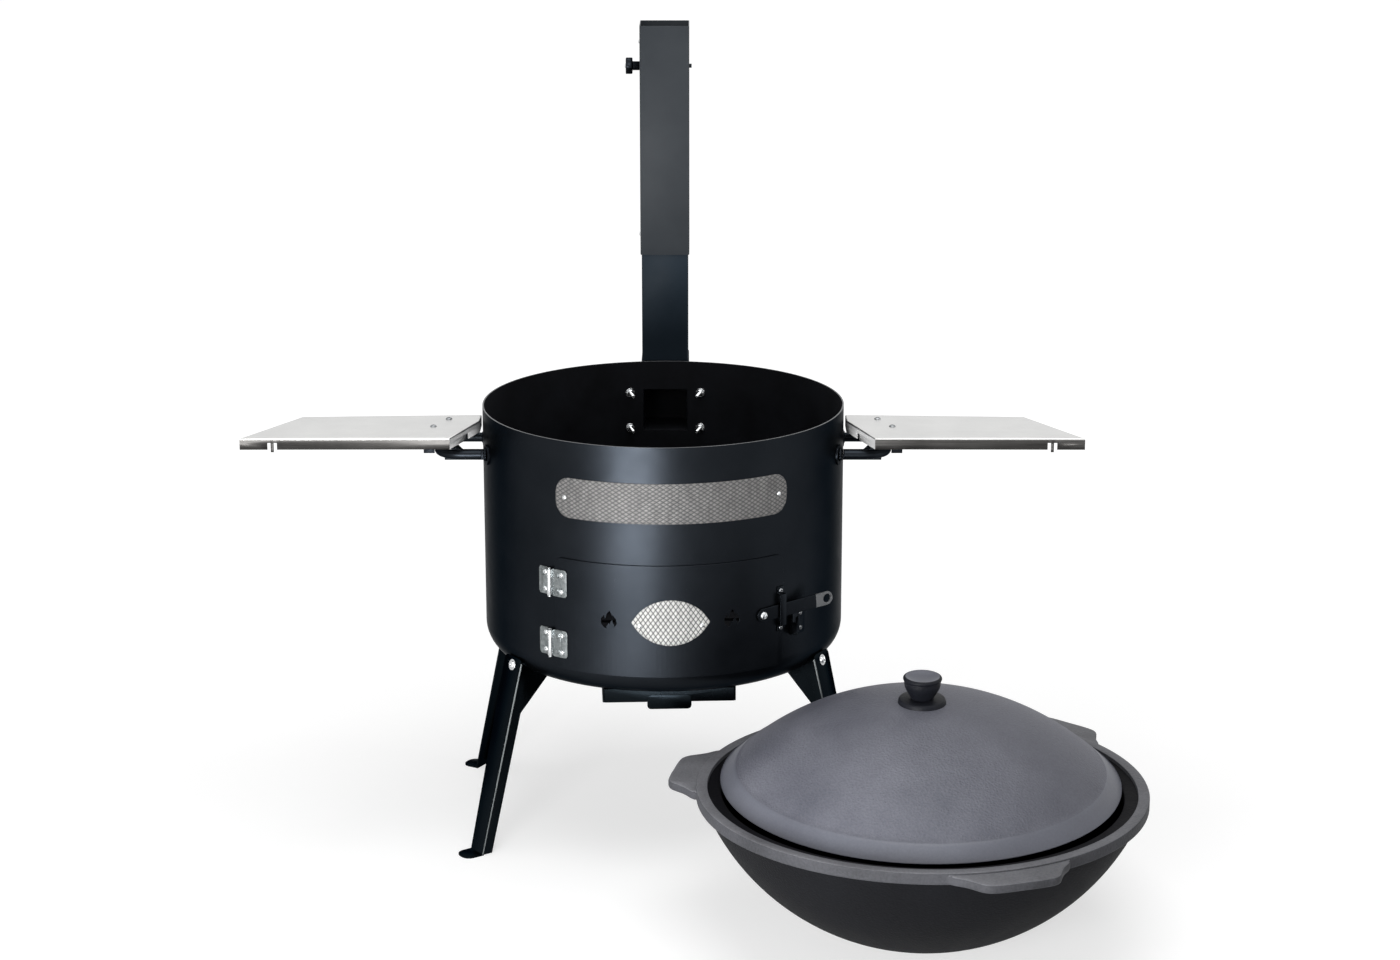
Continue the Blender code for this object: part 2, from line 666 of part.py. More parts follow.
# Fire grate, which lies loose on the inside of the knuckle
grate_radius = KNUCKLE_RING + GRATE_REACH
grate_rise = math.sqrt((DRUM_KNUCKLE - DRUM_WALL - FIT) ** 2 - GRATE_REACH ** 2) * math.cos(
    math.radians(45.0 / KNUCKLE_STEPS))
grate_z = KNUCKLE_Z - grate_rise
slots = []
for number in range(GRATE_SLOTS):
    across = (number - 0.5 * (GRATE_SLOTS - 1)) * GRATE_SLOT_PITCH
    half = math.sqrt(grate_radius ** 2 - across ** 2) - GRATE_EDGE
    slots.append(rounded(across - 0.5 * GRATE_SLOT_WIDTH, -half, across + 0.5 * GRATE_SLOT_WIDTH, half,
                         0.45 * GRATE_SLOT_WIDTH, 2)[::-1])
grate = plate(circle(0.0, 0.0, grate_radius, DRUM_STEPS), slots, GRATE_THICKNESS)
grate.transform(Matrix.Translation((0.0, 0.0, grate_z)) @ Matrix.Rotation(DRUM_TURN, 4, 'Z'))
put("fire_grate", grate, IRON)

# Name plate
name_half = along_wall(NAMEPLATE_HALF_ANGLE)
name_plate = plate(rounded(-name_half, NAMEPLATE_LOW_Z, name_half, NAMEPLATE_TOP_Z, NAMEPLATE_CORNER, 5), [],
                   NAMEPLATE_THICKNESS)
nameplate = put("nameplate", wrap(name_plate, NAMEPLATE_MIDDLE), STAINLESS)
name_out = PLATE_RADIUS + NAMEPLATE_THICKNESS + FIT
name_middle_z = 0.5 * (NAMEPLATE_LOW_Z + NAMEPLATE_TOP_Z)
places = [wall_frame(NAMEPLATE_MIDDLE + side * NAMEPLATE_RIVET_ANGLE, name_out, name_middle_z) for side in (-1, 1)]
rivet_head = (RIVET_HEAD_RADIUS, RIVET_HEAD_HEIGHT)
studs(nameplate, "drum", places, rivet_head, RIVET_SHANK_RADIUS, name_out - WALL_INSIDE)

# Door
hinge_axis = wall_frame(HINGE_ANGLE, HINGE_AXIS_RADIUS, 0.5 * (HINGE_UPPER_Z + HINGE_LOWER_Z)).translation
pivot("door_pivot", hinge_axis)
door_half = along_wall(DOOR_HALF_ANGLE)


def flame(x, y, width, height):
    """Flame-shaped vent from a few shares of its width and height."""
    across_shares = (0.0, 0.30, 0.48, 0.42, 0.20, 0.27, 0.06, -0.10, -0.22, -0.30, -0.47, -0.44, -0.24)
    up_shares = (-0.50, -0.44, -0.20, 0.08, 0.28, 0.04, 0.50, 0.34, 0.02, 0.22, 0.02, -0.28, -0.46)
    return [(x + width * a, y + height * b) for a, b in zip(across_shares, up_shares)]


vents = [flame(side * along_wall(FLAME_ANGLE), FLAME_Z, FLAME_WIDTH, FLAME_HEIGHT) for side in (-1, 1)]
door_sheet = plate(rounded(-door_half, DOOR_LOW_Z, door_half, DOOR_TOP_Z, DOOR_CORNER), vents, DOOR_THICKNESS)
door = put("door_panel", wrap(door_sheet, 0.0), BLACK, "door_pivot")

badge_sweep = (BADGE_HALF_WIDTH ** 2 + BADGE_HALF_HEIGHT ** 2) / (2.0 * BADGE_HALF_HEIGHT)
badge_edge = math.degrees(math.asin(BADGE_HALF_WIDTH / badge_sweep))
upper_arc = arc(0.0, BADGE_HALF_HEIGHT - badge_sweep, badge_sweep, 90.0 - badge_edge, 90.0 + badge_edge, 12)
lower_arc = arc(0.0, badge_sweep - BADGE_HALF_HEIGHT, badge_sweep, -90.0 - badge_edge, -90.0 + badge_edge, 12)
lens = [(x, BADGE_Z + y) for x, y in upper_arc + lower_arc[1:-1]]
badge_sheet = plate(lens, [], BADGE_THICKNESS)
bmesh.ops.translate(badge_sheet, vec=(0.0, 0.0, DOOR_THICKNESS + FIT), verts=badge_sheet.verts[:])
badge = put("door_badge", wrap(badge_sheet, 0.0), STAINLESS, "door_pivot")
badge_out = DOOR_OUTER + BADGE_THICKNESS + 2.0 * FIT
places = [wall_frame(side * BADGE_RIVET_ANGLE, badge_out, BADGE_RIVET_Z) for side in (-1, 1)]
door_inside = PLATE_RADIUS * FLAT_SHARE
studs(badge, "door", places, rivet_head, RIVET_SHANK_RADIUS, badge_out - door_inside, "door_pivot")


# Hinges
def hinge(label, height):
    """Three-knuckle butt hinge: one leaf on the drum, one on the door, and its pin."""
    low = height - 0.5 * HINGE_HEIGHT
    third = HINGE_HEIGHT / 3.0
    bore = HINGE_PIN_RADIUS + FIT
    at_axis = wall_frame(HINGE_ANGLE, HINGE_AXIS_RADIUS, 0.0)
    fixed_back = PLATE_RADIUS - HINGE_AXIS_RADIUS
    door_back = DOOR_OUTER + FIT - HINGE_AXIS_RADIUS
    rise = Matrix.Rotation(math.radians(90.0), 4, 'X')

    def knuckles(neck, spans):
        parts = []
        for bottom, top in spans:
            ring = plate(neck, [circle(0.0, 0.0, bore, 8)], top - bottom)
            ring.transform(at_axis @ Matrix.Translation((0.0, top, 0.0)) @ rise)
            parts.append(ring)
        return join(*parts)

    def leaf(x0, x1, back):
        outline = rounded(x0, low + FIT, x1, low + HINGE_HEIGHT - FIT, 0.5 * HINGE_CORNER, 2)
        sheet = plate(outline, [], HINGE_LEAF)
        sheet.transform(at_axis @ Matrix.Translation((0.0, 0.0, back)))
        return sheet

    half = HINGE_BARREL_RADIUS
    mid_leaf = 0.5 * HINGE_LEAF
    fixed_neck = arc(0.0, 0.0, half, -60.0, 150.0, 7)
    fixed_neck += [(-HINGE_FIXED_IN - HINGE_LEAF, fixed_back + HINGE_LEAF),
                   (-HINGE_FIXED_IN - HINGE_LEAF, fixed_back + mid_leaf),
                   (-HINGE_FIXED_IN + HINGE_LEAF, fixed_back + mid_leaf)]
    fixed = put(label + "_fixed_leaf", leaf(-HINGE_LEAF_OUT, -HINGE_FIXED_IN, fixed_back), ZINC)
    ends = ((low, low + third - FIT), (low + 2.0 * third + FIT, low + HINGE_HEIGHT))
    combine(fixed, tool(label + "_fixed_knuckles", knuckles(fixed_neck, ends)), 'UNION')
    door_neck = arc(0.0, 0.0, half, 45.0, 270.0, 7)
    door_neck += [(half + HINGE_LEAF, door_back), (half + HINGE_LEAF, door_back + mid_leaf)]
    swing_sheet = leaf(half + 0.5 * HINGE_DOOR_IN, HINGE_LEAF_OUT, door_back)
    swing = put(label + "_door_leaf", swing_sheet, ZINC, "door_pivot")
    middle = ((low + third + FIT, low + 2.0 * third - FIT),)
    combine(swing, tool(label + "_door_knuckle", knuckles(door_neck, middle), "door_pivot"), 'UNION')
    return fixed, swing


upper_fixed, upper_swing = hinge("hinge_upper", HINGE_UPPER_Z)
lower_fixed, lower_swing = hinge("hinge_lower", HINGE_LOWER_Z)
for label, height in (("hinge_upper_pin", HINGE_UPPER_Z), ("hinge_lower_pin", HINGE_LOWER_Z)):
    reach = 0.5 * HINGE_HEIGHT + FIT
    head = 0.8 * HINGE_BARREL_RADIUS
    rows = [(head, -reach - HINGE_PIN_HEAD), (head, -reach), (HINGE_PIN_RADIUS, -reach),
            (HINGE_PIN_RADIUS, reach), (head, reach), (head, reach + HINGE_PIN_HEAD)]
    pin = lathe(rows, 8)
    pin.transform(Matrix.Translation((hinge_axis.x, hinge_axis.y, height)))
    put(label, pin, ZINC)


def hinge_places(side, out, height):
    """Screw places of one hinge leaf."""
    found = []
    for lift in (-HINGE_SCREW_SPREAD, HINGE_SCREW_SPREAD):
        at = wall_frame(HINGE_ANGLE, out, height + lift)
        found.append(at @ Matrix.Translation((side * HINGE_SCREW_OUT, 0.0, 0.0)))
    return found


screw_head = (HINGE_SCREW_RADIUS, HINGE_SCREW_HEIGHT)
fixed_out = PLATE_RADIUS + HINGE_LEAF + FIT
swing_out = DOOR_OUTER + HINGE_LEAF + 2.0 * FIT
screw_sag = DRUM_RADIUS - math.sqrt(DRUM_RADIUS ** 2 - (HINGE_SCREW_OUT + HINGE_SCREW_RADIUS) ** 2)
for fixed, swing, height in ((upper_fixed, upper_swing, HINGE_UPPER_Z), (lower_fixed, lower_swing, HINGE_LOWER_Z)):
    studs(fixed, "drum", hinge_places(-1, fixed_out, height), screw_head, RIVET_SHANK_RADIUS,
          fixed_out - WALL_INSIDE + screw_sag)
    studs(swing, "door", hinge_places(1, swing_out, height), screw_head, RIVET_SHANK_RADIUS,
          swing_out - PLATE_RADIUS, "door_pivot")

# Latch lever, swinging in the plane that touches the door at its pivot
lever_inner = DOOR_OUTER + FIT
pivot_frame = wall_frame(LATCH_ANGLE, lever_inner, LATCH_Z)
pivot("latch_pivot", pivot_frame.translation, "door_pivot")
lever_half = 0.5 * LATCH_WIDTH
lever_line = arc(0.0, 0.0, lever_half, 90.0, 270.0, 8) + arc(LATCH_LENGTH, 0.0, lever_half, -90.0, 90.0, 10)
lever_holes = [circle(0.0, 0.0, PIVOT_SHANK_RADIUS + FIT)[::-1],
               circle(LATCH_LENGTH, 0.0, LATCH_RING_HOLE, 14)[::-1]]
lever = plate(lever_line, lever_holes, LATCH_THICKNESS)
lever.transform(pivot_frame @ Matrix.Rotation(math.radians(LATCH_REST), 4, 'Z'))
put("latch_lever", lever, BLACK, "latch_pivot")
pivot_out = lever_inner + LATCH_THICKNESS + FIT
fasteners(("latch_pivot_bolt",), "pivot", [wall_frame(LATCH_ANGLE, pivot_out, LATCH_Z)],
          (PIVOT_HEAD_RADIUS, PIVOT_HEAD_HEIGHT), PIVOT_SHANK_RADIUS, pivot_out - door_inside + FIT, "door_pivot",
          (NUT_SPREAD_SHARE * PIVOT_SHANK_RADIUS, PIVOT_SHANK_RADIUS), 12)

# Guide strap that the lever passes through
foot_end = GUIDE_SCREW_SPREAD + 0.5 * GUIDE_FOOT
guide_lean = math.radians(GUIDE_ANGLE - LATCH_ANGLE)
lever_top = (lever_inner + LATCH_THICKNESS + 0.5 * GUIDE_WIDTH * math.sin(guide_lean)) / math.cos(guide_lean)
under_bridge = lever_top - lever_inner + GUIDE_PLAY
room = under_bridge + GUIDE_THICKNESS
inside = GUIDE_HALF_HEIGHT
strap_line = [(0.0, -foot_end), (GUIDE_THICKNESS, -foot_end), (GUIDE_THICKNESS, -inside - GUIDE_THICKNESS),
              (room, -inside - 0.5 * GUIDE_THICKNESS), (room, inside + 0.5 * GUIDE_THICKNESS),
              (GUIDE_THICKNESS, inside + GUIDE_THICKNESS), (GUIDE_THICKNESS, foot_end), (0.0, foot_end),
              (0.0, inside), (under_bridge, inside - 0.5 * GUIDE_THICKNESS),
              (under_bridge, -inside + 0.5 * GUIDE_THICKNESS), (0.0, -inside)]
strap = plate(strap_line, [], GUIDE_WIDTH)
across = Matrix(((0.0, 0.0, -1.0, 0.0), (0.0, 1.0, 0.0, 0.0), (1.0, 0.0, 0.0, 0.0), (0.0, 0.0, 0.0, 1.0)))
strap.transform(wall_frame(GUIDE_ANGLE, lever_inner, GUIDE_Z)
                @ Matrix.Translation((0.5 * GUIDE_WIDTH, 0.0, 0.0)) @ across)
guide = put("latch_guide", strap, BLACK, "door_pivot")
guide_out = lever_inner + GUIDE_THICKNESS + FIT
places = [wall_frame(GUIDE_ANGLE, guide_out, GUIDE_Z + side * GUIDE_SCREW_SPREAD) for side in (-1, 1)]
studs(guide, "door", places, screw_head, RIVET_SHANK_RADIUS, guide_out - PLATE_RADIUS, "door_pivot")

# Keeper on the drum, folded from one strip into a flange and a hook
keeper_line = rounded(-KEEPER_HALF_WIDTH - along_wall(KEEPER_ANGLE - HOOK_ANGLE) + KEEPER_HALF_WIDTH,
                      KEEPER_Z - KEEPER_HALF_HEIGHT, KEEPER_HALF_WIDTH, KEEPER_Z + KEEPER_HALF_HEIGHT,
                      0.4 * KEEPER_HALF_WIDTH)
keeper = put("latch_keeper", wrap(plate(keeper_line, [], KEEPER_THICKNESS), KEEPER_ANGLE), BLACK)
hook_run = lever_inner * math.tan(math.radians(HOOK_ANGLE - LATCH_ANGLE)) + HOOK_THICKNESS
hook_floor = (LATCH_Z + hook_run * math.tan(math.radians(LATCH_LOW))
              - lever_half / math.cos(math.radians(LATCH_LOW)) - LATCH_HOOK_CLEARANCE)
hook_in = PLATE_RADIUS + 0.3 * KEEPER_THICKNESS
notch_in = PLATE_RADIUS + HOOK_NECK
notch_out = notch_in + HOOK_NOTCH
hook_out = notch_out + HOOK_PRONG
hook_line = [(hook_in, HOOK_LOW_Z), (notch_out, HOOK_LOW_Z), (hook_out, HOOK_LOW_Z + HOOK_PRONG),
             (hook_out, HOOK_PRONG_TOP_Z), (notch_out + HOOK_LEAD, HOOK_PRONG_TOP_Z),
             (notch_out, HOOK_PRONG_TOP_Z - HOOK_LEAD), (notch_out, hook_floor), (notch_in, hook_floor),
             (notch_in, HOOK_TOP_Z), (hook_in, HOOK_TOP_Z)]
hook = plate(hook_line, [], HOOK_THICKNESS)
upright = Matrix(((0.0, 0.0, -1.0, 0.0), (0.0, 1.0, 0.0, 0.0), (1.0, 0.0, 0.0, 0.0), (0.0, 0.0, 0.0, 1.0)))
hook.transform(wall_frame(HOOK_ANGLE, 0.0, 0.0) @ Matrix.Translation((0.6 * HOOK_THICKNESS, 0.0, 0.0)) @ upright)
combine(keeper, tool("keeper_hook", hook), 'UNION')
keeper_out = PLATE_RADIUS + KEEPER_THICKNESS + FIT
places = [wall_frame(KEEPER_ANGLE, keeper_out, KEEPER_Z + side * KEEPER_SCREW_SPREAD) for side in (-1, 1)]
studs(keeper, "drum", places, screw_head, RIVET_SHANK_RADIUS, keeper_out - WALL_INSIDE)


# Legs
def leg_radius(height):
    """Outer face of a leg at a height."""
    return PLATE_RADIUS + LEG_SHEET + LEG_SPLAY * (LEG_TOP_Z - height) - (
        DRUM_RADIUS - KNUCKLE_RING - math.sqrt(DRUM_KNUCKLE ** 2 - (KNUCKLE_Z - LEG_TOP_Z) ** 2))


def leg_half_width(height):
    """Half width of a leg's flange at a height."""
    return 0.5 * (LEG_FOOT_WIDTH + (LEG_TOP_WIDTH - LEG_FOOT_WIDTH) * height / LEG_TOP_Z)


LEG_NAMES = ("leg_front_right", "leg_rear_right", "leg_rear_left", "leg_front_left")
LEG_PLACES = (LEG_AZIMUTH, 180.0 - LEG_AZIMUTH, 180.0 + LEG_AZIMUTH, -LEG_AZIMUTH)
LEG_FOLDS = (-1, 1, -1, 1)
legs = []
brackets = []
leg_places = []
slope_length = math.sqrt(1.0 + LEG_SPLAY ** 2)
for label, azimuth, fold in zip(LEG_NAMES, LEG_PLACES, LEG_FOLDS):
    base = wall_frame(azimuth, 0.0, 0.0)
    foot_r = leg_radius(0.0)
    out_dir = (base.to_3x3() @ Vector((0.0, LEG_SPLAY, 1.0))).normalized()
    up_dir = (base.to_3x3() @ Vector((0.0, 1.0, -LEG_SPLAY))).normalized()
    face = frame(base @ Vector((0.0, 0.0, foot_r)), out_dir, up_dir)
    length = LEG_TOP_Z * slope_length
    start = 0.6 * LEG_SHEET
    low_half = leg_half_width(start)
    top_half = leg_half_width(LEG_TOP_Z)
    cut = LEG_CORNER
    line = [(-low_half, start), (low_half, start), (top_half, length - cut),
            (top_half - 0.3 * cut, length - 0.3 * cut), (top_half - cut, length), (cut - top_half, length),
            (0.3 * cut - top_half, length - 0.3 * cut), (-top_half, length - cut)]
    flange = plate(line, [], LEG_SHEET)
    flange.transform(face @ Matrix.Translation((0.0, 0.0, -LEG_SHEET)))
    leg = put(label, flange, BLACK)

    mid = 0.5 * LEG_SHEET
    knee = LEG_GUSSET_START_Z
    side_line = [(leg_radius(mid) - mid, mid), (leg_radius(LEG_GUSSET_TOP_Z) - mid, LEG_GUSSET_TOP_Z),
                 (leg_radius(DRUM_BOTTOM_Z) - LEG_GUSSET_DEPTH, LEG_GUSSET_TOP_Z),
                 (leg_radius(DRUM_BOTTOM_Z) - LEG_GUSSET_DEPTH, DRUM_BOTTOM_Z - 2.0 * LEG_SHEET),
                 (leg_radius(knee) - LEG_FLANGE_DEPTH, knee), (leg_radius(mid) - LEG_FLANGE_DEPTH, mid)]
    gusset = plate(side_line, [], LEG_SHEET)
    for vert in gusset.verts:
        radius, height, deep = vert.co
        side = fold * (leg_half_width(height) - GUSSET_INSET_SHARE * LEG_SHEET - deep)
        vert.co = base @ Vector((side, height, radius))
    tongue_half = leg_half_width(0.0)
    tip = foot_r + LEG_TONGUE
    turn = LEG_TONGUE_CORNER
    tongue_line = [(-tongue_half, foot_r - 1.5 * LEG_SHEET), (tongue_half, foot_r - 1.5 * LEG_SHEET)]
    tongue_line += arc(tongue_half - turn, tip - turn, turn, 0.0, 90.0, 4)
    tongue_line += arc(turn - tongue_half, tip - turn, turn, 90.0, 180.0, 4)
    tongue = plate(tongue_line, [], LEG_SHEET)
    for vert in tongue.verts:
        side, radius, height = vert.co
        vert.co = base @ Vector((side, height, radius))
    combine(leg, tool(label + "_gusset", gusset), 'UNION')
    combine(leg, tool(label + "_foot", tongue), 'UNION')
    combine(leg, drum_space, 'DIFFERENCE')
    legs.append(leg)

    bolt_up = length - LEG_BOLT_DROP * slope_length
    leg_places.append(face @ Matrix.Translation((0.0, bolt_up, FIT)))
    behind = face @ Matrix.Translation((0.0, 0.0, -LEG_SHEET - FIT - LEG_BRACKET_DEPTH))
    half = 0.5 * LEG_BRACKET_WIDTH
    tab_low = length - LEG_BRACKET_HEIGHT
    tab = plate([(-half, tab_low), (half, tab_low), (half, length), (-half, length)], [], LEG_BRACKET_DEPTH)
    tab.transform(behind)
    bracket = put(label.replace("leg_", "leg_bracket_"), tab, BLACK)
    combine(bracket, drum_space, 'DIFFERENCE')
    brackets.append(bracket)
leg_grip = LEG_SHEET + 0.55 * LEG_BRACKET_DEPTH
fasteners([label.replace("leg_", "leg_bolt_") for label in LEG_NAMES], "leg", leg_places,
          (LEG_BOLT_RADIUS, LEG_BOLT_HEIGHT), LEG_SHANK_RADIUS, leg_grip)

# Ash pan rails under the flat bottom, and the pan that runs in them
front_turn = Matrix.Rotation(math.radians(FRONT_TURN), 4, 'Z')
rail_top = DRUM_BOTTOM_Z - FIT
lay_along = Matrix(((1.0, 0.0, 0.0, 0.0), (0.0, 0.0, 1.0, 0.0), (0.0, 1.0, 0.0, 0.0), (0.0, 0.0, 0.0, 1.0)))
for label, side in (("ash_rail_left", -1), ("ash_rail_right", 1)):
    web = side * RAIL_HALF_WIDTH
    near = side * (RAIL_HALF_WIDTH - RAIL_SHEET)
    lip = side * (RAIL_HALF_WIDTH - RAIL_LIP)
    line = [(lip, RAIL_LOW_Z), (web, RAIL_LOW_Z), (web, rail_top), (lip, rail_top), (lip, rail_top - RAIL_SHEET),
            (near, rail_top - RAIL_SHEET), (near, RAIL_LOW_Z + RAIL_SHEET), (lip, RAIL_LOW_Z + RAIL_SHEET)]
    rail = plate(line, [], RAIL_BACK_Y - RAIL_FRONT_Y)
    rail.transform(front_turn @ Matrix.Translation((0.0, RAIL_FRONT_Y, 0.0)) @ lay_along)
    put(label, rail, BLACK)

pan_half = RAIL_HALF_WIDTH - RAIL_SHEET - PAN_SIDE_ROOM
pan_low = RAIL_LOW_Z + RAIL_SHEET + FIT
pan_top = pan_low + PAN_HEIGHT
pan_front = RAIL_FRONT_Y - PAN_FRONT_OUT
pan_back = RAIL_BACK_Y - PAN_BACK_ROOM
pivot("ash_pan_pivot", front_turn @ Vector((0.0, pan_front, pan_low)))
pan_shape = bmesh.new()
pan_rows = []
for inset, height in ((0.0, pan_low), (0.0, pan_top), (PAN_SHEET, pan_top), (PAN_SHEET, pan_low + PAN_SHEET)):
    x = pan_half - inset
    corners = ((-x, pan_front + inset), (x, pan_front + inset), (x, pan_back - inset), (-x, pan_back - inset))
    pan_rows.append([front_turn @ Vector((a, b, height)) for a, b in corners])
pan = put("ash_pan", loft(pan_rows), BLACK, "ash_pan_pivot")
tab_half = 0.5 * PAN_TAB_WIDTH
tab = plate(rounded(-tab_half, PAN_TAB_LOW_Z, tab_half, pan_low + 0.5 * PAN_HEIGHT, PAN_TAB_CORNER), [], PAN_SHEET)
tab.transform(front_turn @ Matrix.Translation((0.0, pan_front + 0.4 * PAN_SHEET, 0.0))
              @ Matrix.Rotation(math.radians(90.0), 4, 'X'))
combine(pan, tool("ash_pan_tab", tab, "ash_pan_pivot"), 'UNION')


# Handles
def bar(points, radius, sides=10):
    """Round bar along a level path."""
    rings = []
    for index, point in enumerate(points):
        before = points[max(index - 1, 0)]
        after = points[min(index + 1, len(points) - 1)]
        heading = (after - before).normalized()
        across = heading.cross(Vector((0.0, 0.0, 1.0)))
        ring = []
        for number in range(sides):
            turn = 2.0 * math.pi * number / sides
            ring.append(point + radius * (math.cos(turn) * across + math.sin(turn) * Vector((0.0, 0.0, 1.0))))
        rings.append(ring)
    return loft(rings)


for label, side in (("handle_left", -1), ("handle_right", 1)):
    bend_x = HANDLE_OUT - HANDLE_BEND
    front = arc(bend_x, HANDLE_FRONT_Y + HANDLE_BEND, HANDLE_BEND, -90.0, 0.0, 4)
    rear = arc(bend_x, HANDLE_BACK_Y - HANDLE_BEND, HANDLE_BEND, 0.0, 90.0, 4)
    root = DRUM_RADIUS - 4.0 * HANDLE_BAR_RADIUS
    path = [(root, HANDLE_FRONT_Y)] + front + rear + [(root, HANDLE_BACK_Y)]
    handle = put(label, bar([Vector((side * x, y, HANDLE_Z)) for x, y in path], HANDLE_BAR_RADIUS), BLACK)
    pads = []
    for y in (HANDLE_FRONT_Y, HANDLE_BACK_Y):
        angle = side * (90.0 + math.degrees(math.asin(y / DRUM_RADIUS))) - FRONT_TURN
        pad = lathe([(HANDLE_PAD_RADIUS, -4.0 * HANDLE_PAD_THICKNESS), (HANDLE_PAD_RADIUS, HANDLE_PAD_THICKNESS)], 16)
        pad.transform(wall_frame(angle, PLATE_RADIUS, HANDLE_Z))
        pads.append(pad)
    combine(handle, tool(label + "_pads", join(*pads)), 'UNION')
    combine(handle, drum_space, 'DIFFERENCE')


# Side shelves
def shelf(label, side):
    """Folded tray on a saddle bracket that sits over the handle's outer bar."""
    body = label + "_pivot"
    top = SHELF_TOP_Z
    under = top - SHELF_SHEET
    saddle_top = under - FIT
    pivot(body, (side * HANDLE_OUT, 0.5 * (HANDLE_FRONT_Y + HANDLE_BACK_Y), HANDLE_Z))
    corners = [(SHELF_OUT_FRONT_X, SHELF_OUT_FRONT_Y), (SHELF_OUT_BACK_X, SHELF_OUT_BACK_Y),
               (SHELF_IN_BACK_X, SHELF_IN_BACK_Y), (SHELF_IN_BACK_X, SHELF_KNEE_Y),
               (SHELF_IN_FRONT_X, SHELF_IN_FRONT_Y)]

    def inset(points, depth):
        moved = []
        for index, (x, y) in enumerate(points):
            x0, y0 = points[index - 1]
            x2, y2 = points[(index + 1) % len(points)]
            first = Vector((x - x0, y - y0)).normalized()
            second = Vector((x2 - x, y2 - y)).normalized()
            normal_a = Vector((-first.y, first.x))
            normal_b = Vector((-second.y, second.x))
            half_way = (normal_a + normal_b).normalized()
            reach = depth / half_way.dot(normal_a)
            moved.append((x + half_way.x * reach, y + half_way.y * reach))
        return moved

    inner = inset(corners, SHELF_SHEET)
    rows = []
    for points, height in ((corners, top), (corners, top - SHELF_SKIRT), (inner, top - SHELF_SKIRT), (inner, under)):
        rows.append([Vector((side * x, y, height)) for x, y in points])
    tray = put(label + "_tray", loft(rows), BRIGHT, body)

    low = top - SHELF_SKIRT
    opener = block((OPENER_X - 0.5 * OPENER_WIDTH, SHELF_OUT_FRONT_Y - OVERRUN, low - OVERRUN),
                   (OPENER_X + 0.5 * OPENER_WIDTH, SHELF_OUT_FRONT_Y + OVERRUN, low + OPENER_HEIGHT))
    edge = Vector((SHELF_IN_FRONT_X - SHELF_IN_BACK_X, SHELF_IN_FRONT_Y - SHELF_KNEE_Y, 0.0))
    middle = Vector((SHELF_IN_BACK_X, SHELF_KNEE_Y, 0.0)) + 0.42 * edge
    notch = block((-0.5 * SKIRT_NOTCH_WIDTH, -OVERRUN, low - OVERRUN),
                  (0.5 * SKIRT_NOTCH_WIDTH, OVERRUN, low + SKIRT_NOTCH_HEIGHT))
    notch.transform(Matrix.Translation(middle) @ Matrix.Rotation(math.atan2(edge.y, edge.x), 4, 'Z'))
    cuts = join(opener, notch)
    cuts.transform(Matrix.Diagonal((side, 1.0, 1.0, 1.0)))
    combine(tray, tool(label + "_cuts", cuts, body), 'DIFFERENCE')
    tongue = block((OPENER_X - 0.5 * OPENER_TONGUE_WIDTH, SHELF_OUT_FRONT_Y + 0.3 * SHELF_SHEET,
                    low - OPENER_TONGUE_DROP),
                   (OPENER_X + 0.5 * OPENER_TONGUE_WIDTH, SHELF_OUT_FRONT_Y + 1.3 * SHELF_SHEET,
                    low + OPENER_HEIGHT + SHELF_SHEET))
    tongue.transform(Matrix.Diagonal((side, 1.0, 1.0, 1.0)))
    combine(tray, tool(label + "_tongue", tongue, body), 'UNION')

    crown = block((SADDLE_IN_X, SADDLE_FRONT_Y, saddle_top - SADDLE_SHEET), (SADDLE_OUT_X, SADDLE_BACK_Y, saddle_top))
    crown.transform(Matrix.Diagonal((side, 1.0, 1.0, 1.0)))
    saddle = put(label + "_saddle", crown, BLACK, body)
    gap = HANDLE_BAR_RADIUS + FIT
    wall_top = saddle_top - 0.5 * SADDLE_SHEET
    low_z = HANDLE_Z - HANDLE_BAR_RADIUS
    tail_top = SADDLE_TAIL_LOW_Z + SADDLE_TAIL_HEIGHT
    tail_in = DRUM_RADIUS - 3.0 * HANDLE_BAR_RADIUS
    outline = [(SADDLE_OUT_X, wall_top), (SADDLE_IN_X, wall_top), (SADDLE_IN_X, HANDLE_Z),
               (SADDLE_IN_X - SADDLE_TAIL_HEIGHT, tail_top), (tail_in, tail_top), (tail_in, SADDLE_TAIL_LOW_Z),
               (HANDLE_OUT - gap, SADDLE_TAIL_LOW_Z)]
    outline += arc(HANDLE_OUT, HANDLE_Z, gap / math.cos(math.radians(90.0 / SADDLE_SLOT_STEPS)), 180.0, 0.0,
                   SADDLE_SLOT_STEPS)
    outline += [(HANDLE_OUT + gap, low_z), (SADDLE_OUT_X, low_z)]
    walls = []
    for y in (SADDLE_WALL_FRONT_Y, SADDLE_WALL_BACK_Y):
        wall = plate(outline, [], SADDLE_SHEET)
        wall.transform(Matrix.Translation((0.0, y, 0.0)) @ Matrix.Rotation(math.radians(90.0), 4, 'X'))
        wall.transform(Matrix.Diagonal((side, 1.0, 1.0, 1.0)))
        walls.append(wall)
    combine(saddle, tool(label + "_saddle_walls", join(*walls), body), 'UNION')
    combine(saddle, drum_space, 'DIFFERENCE')

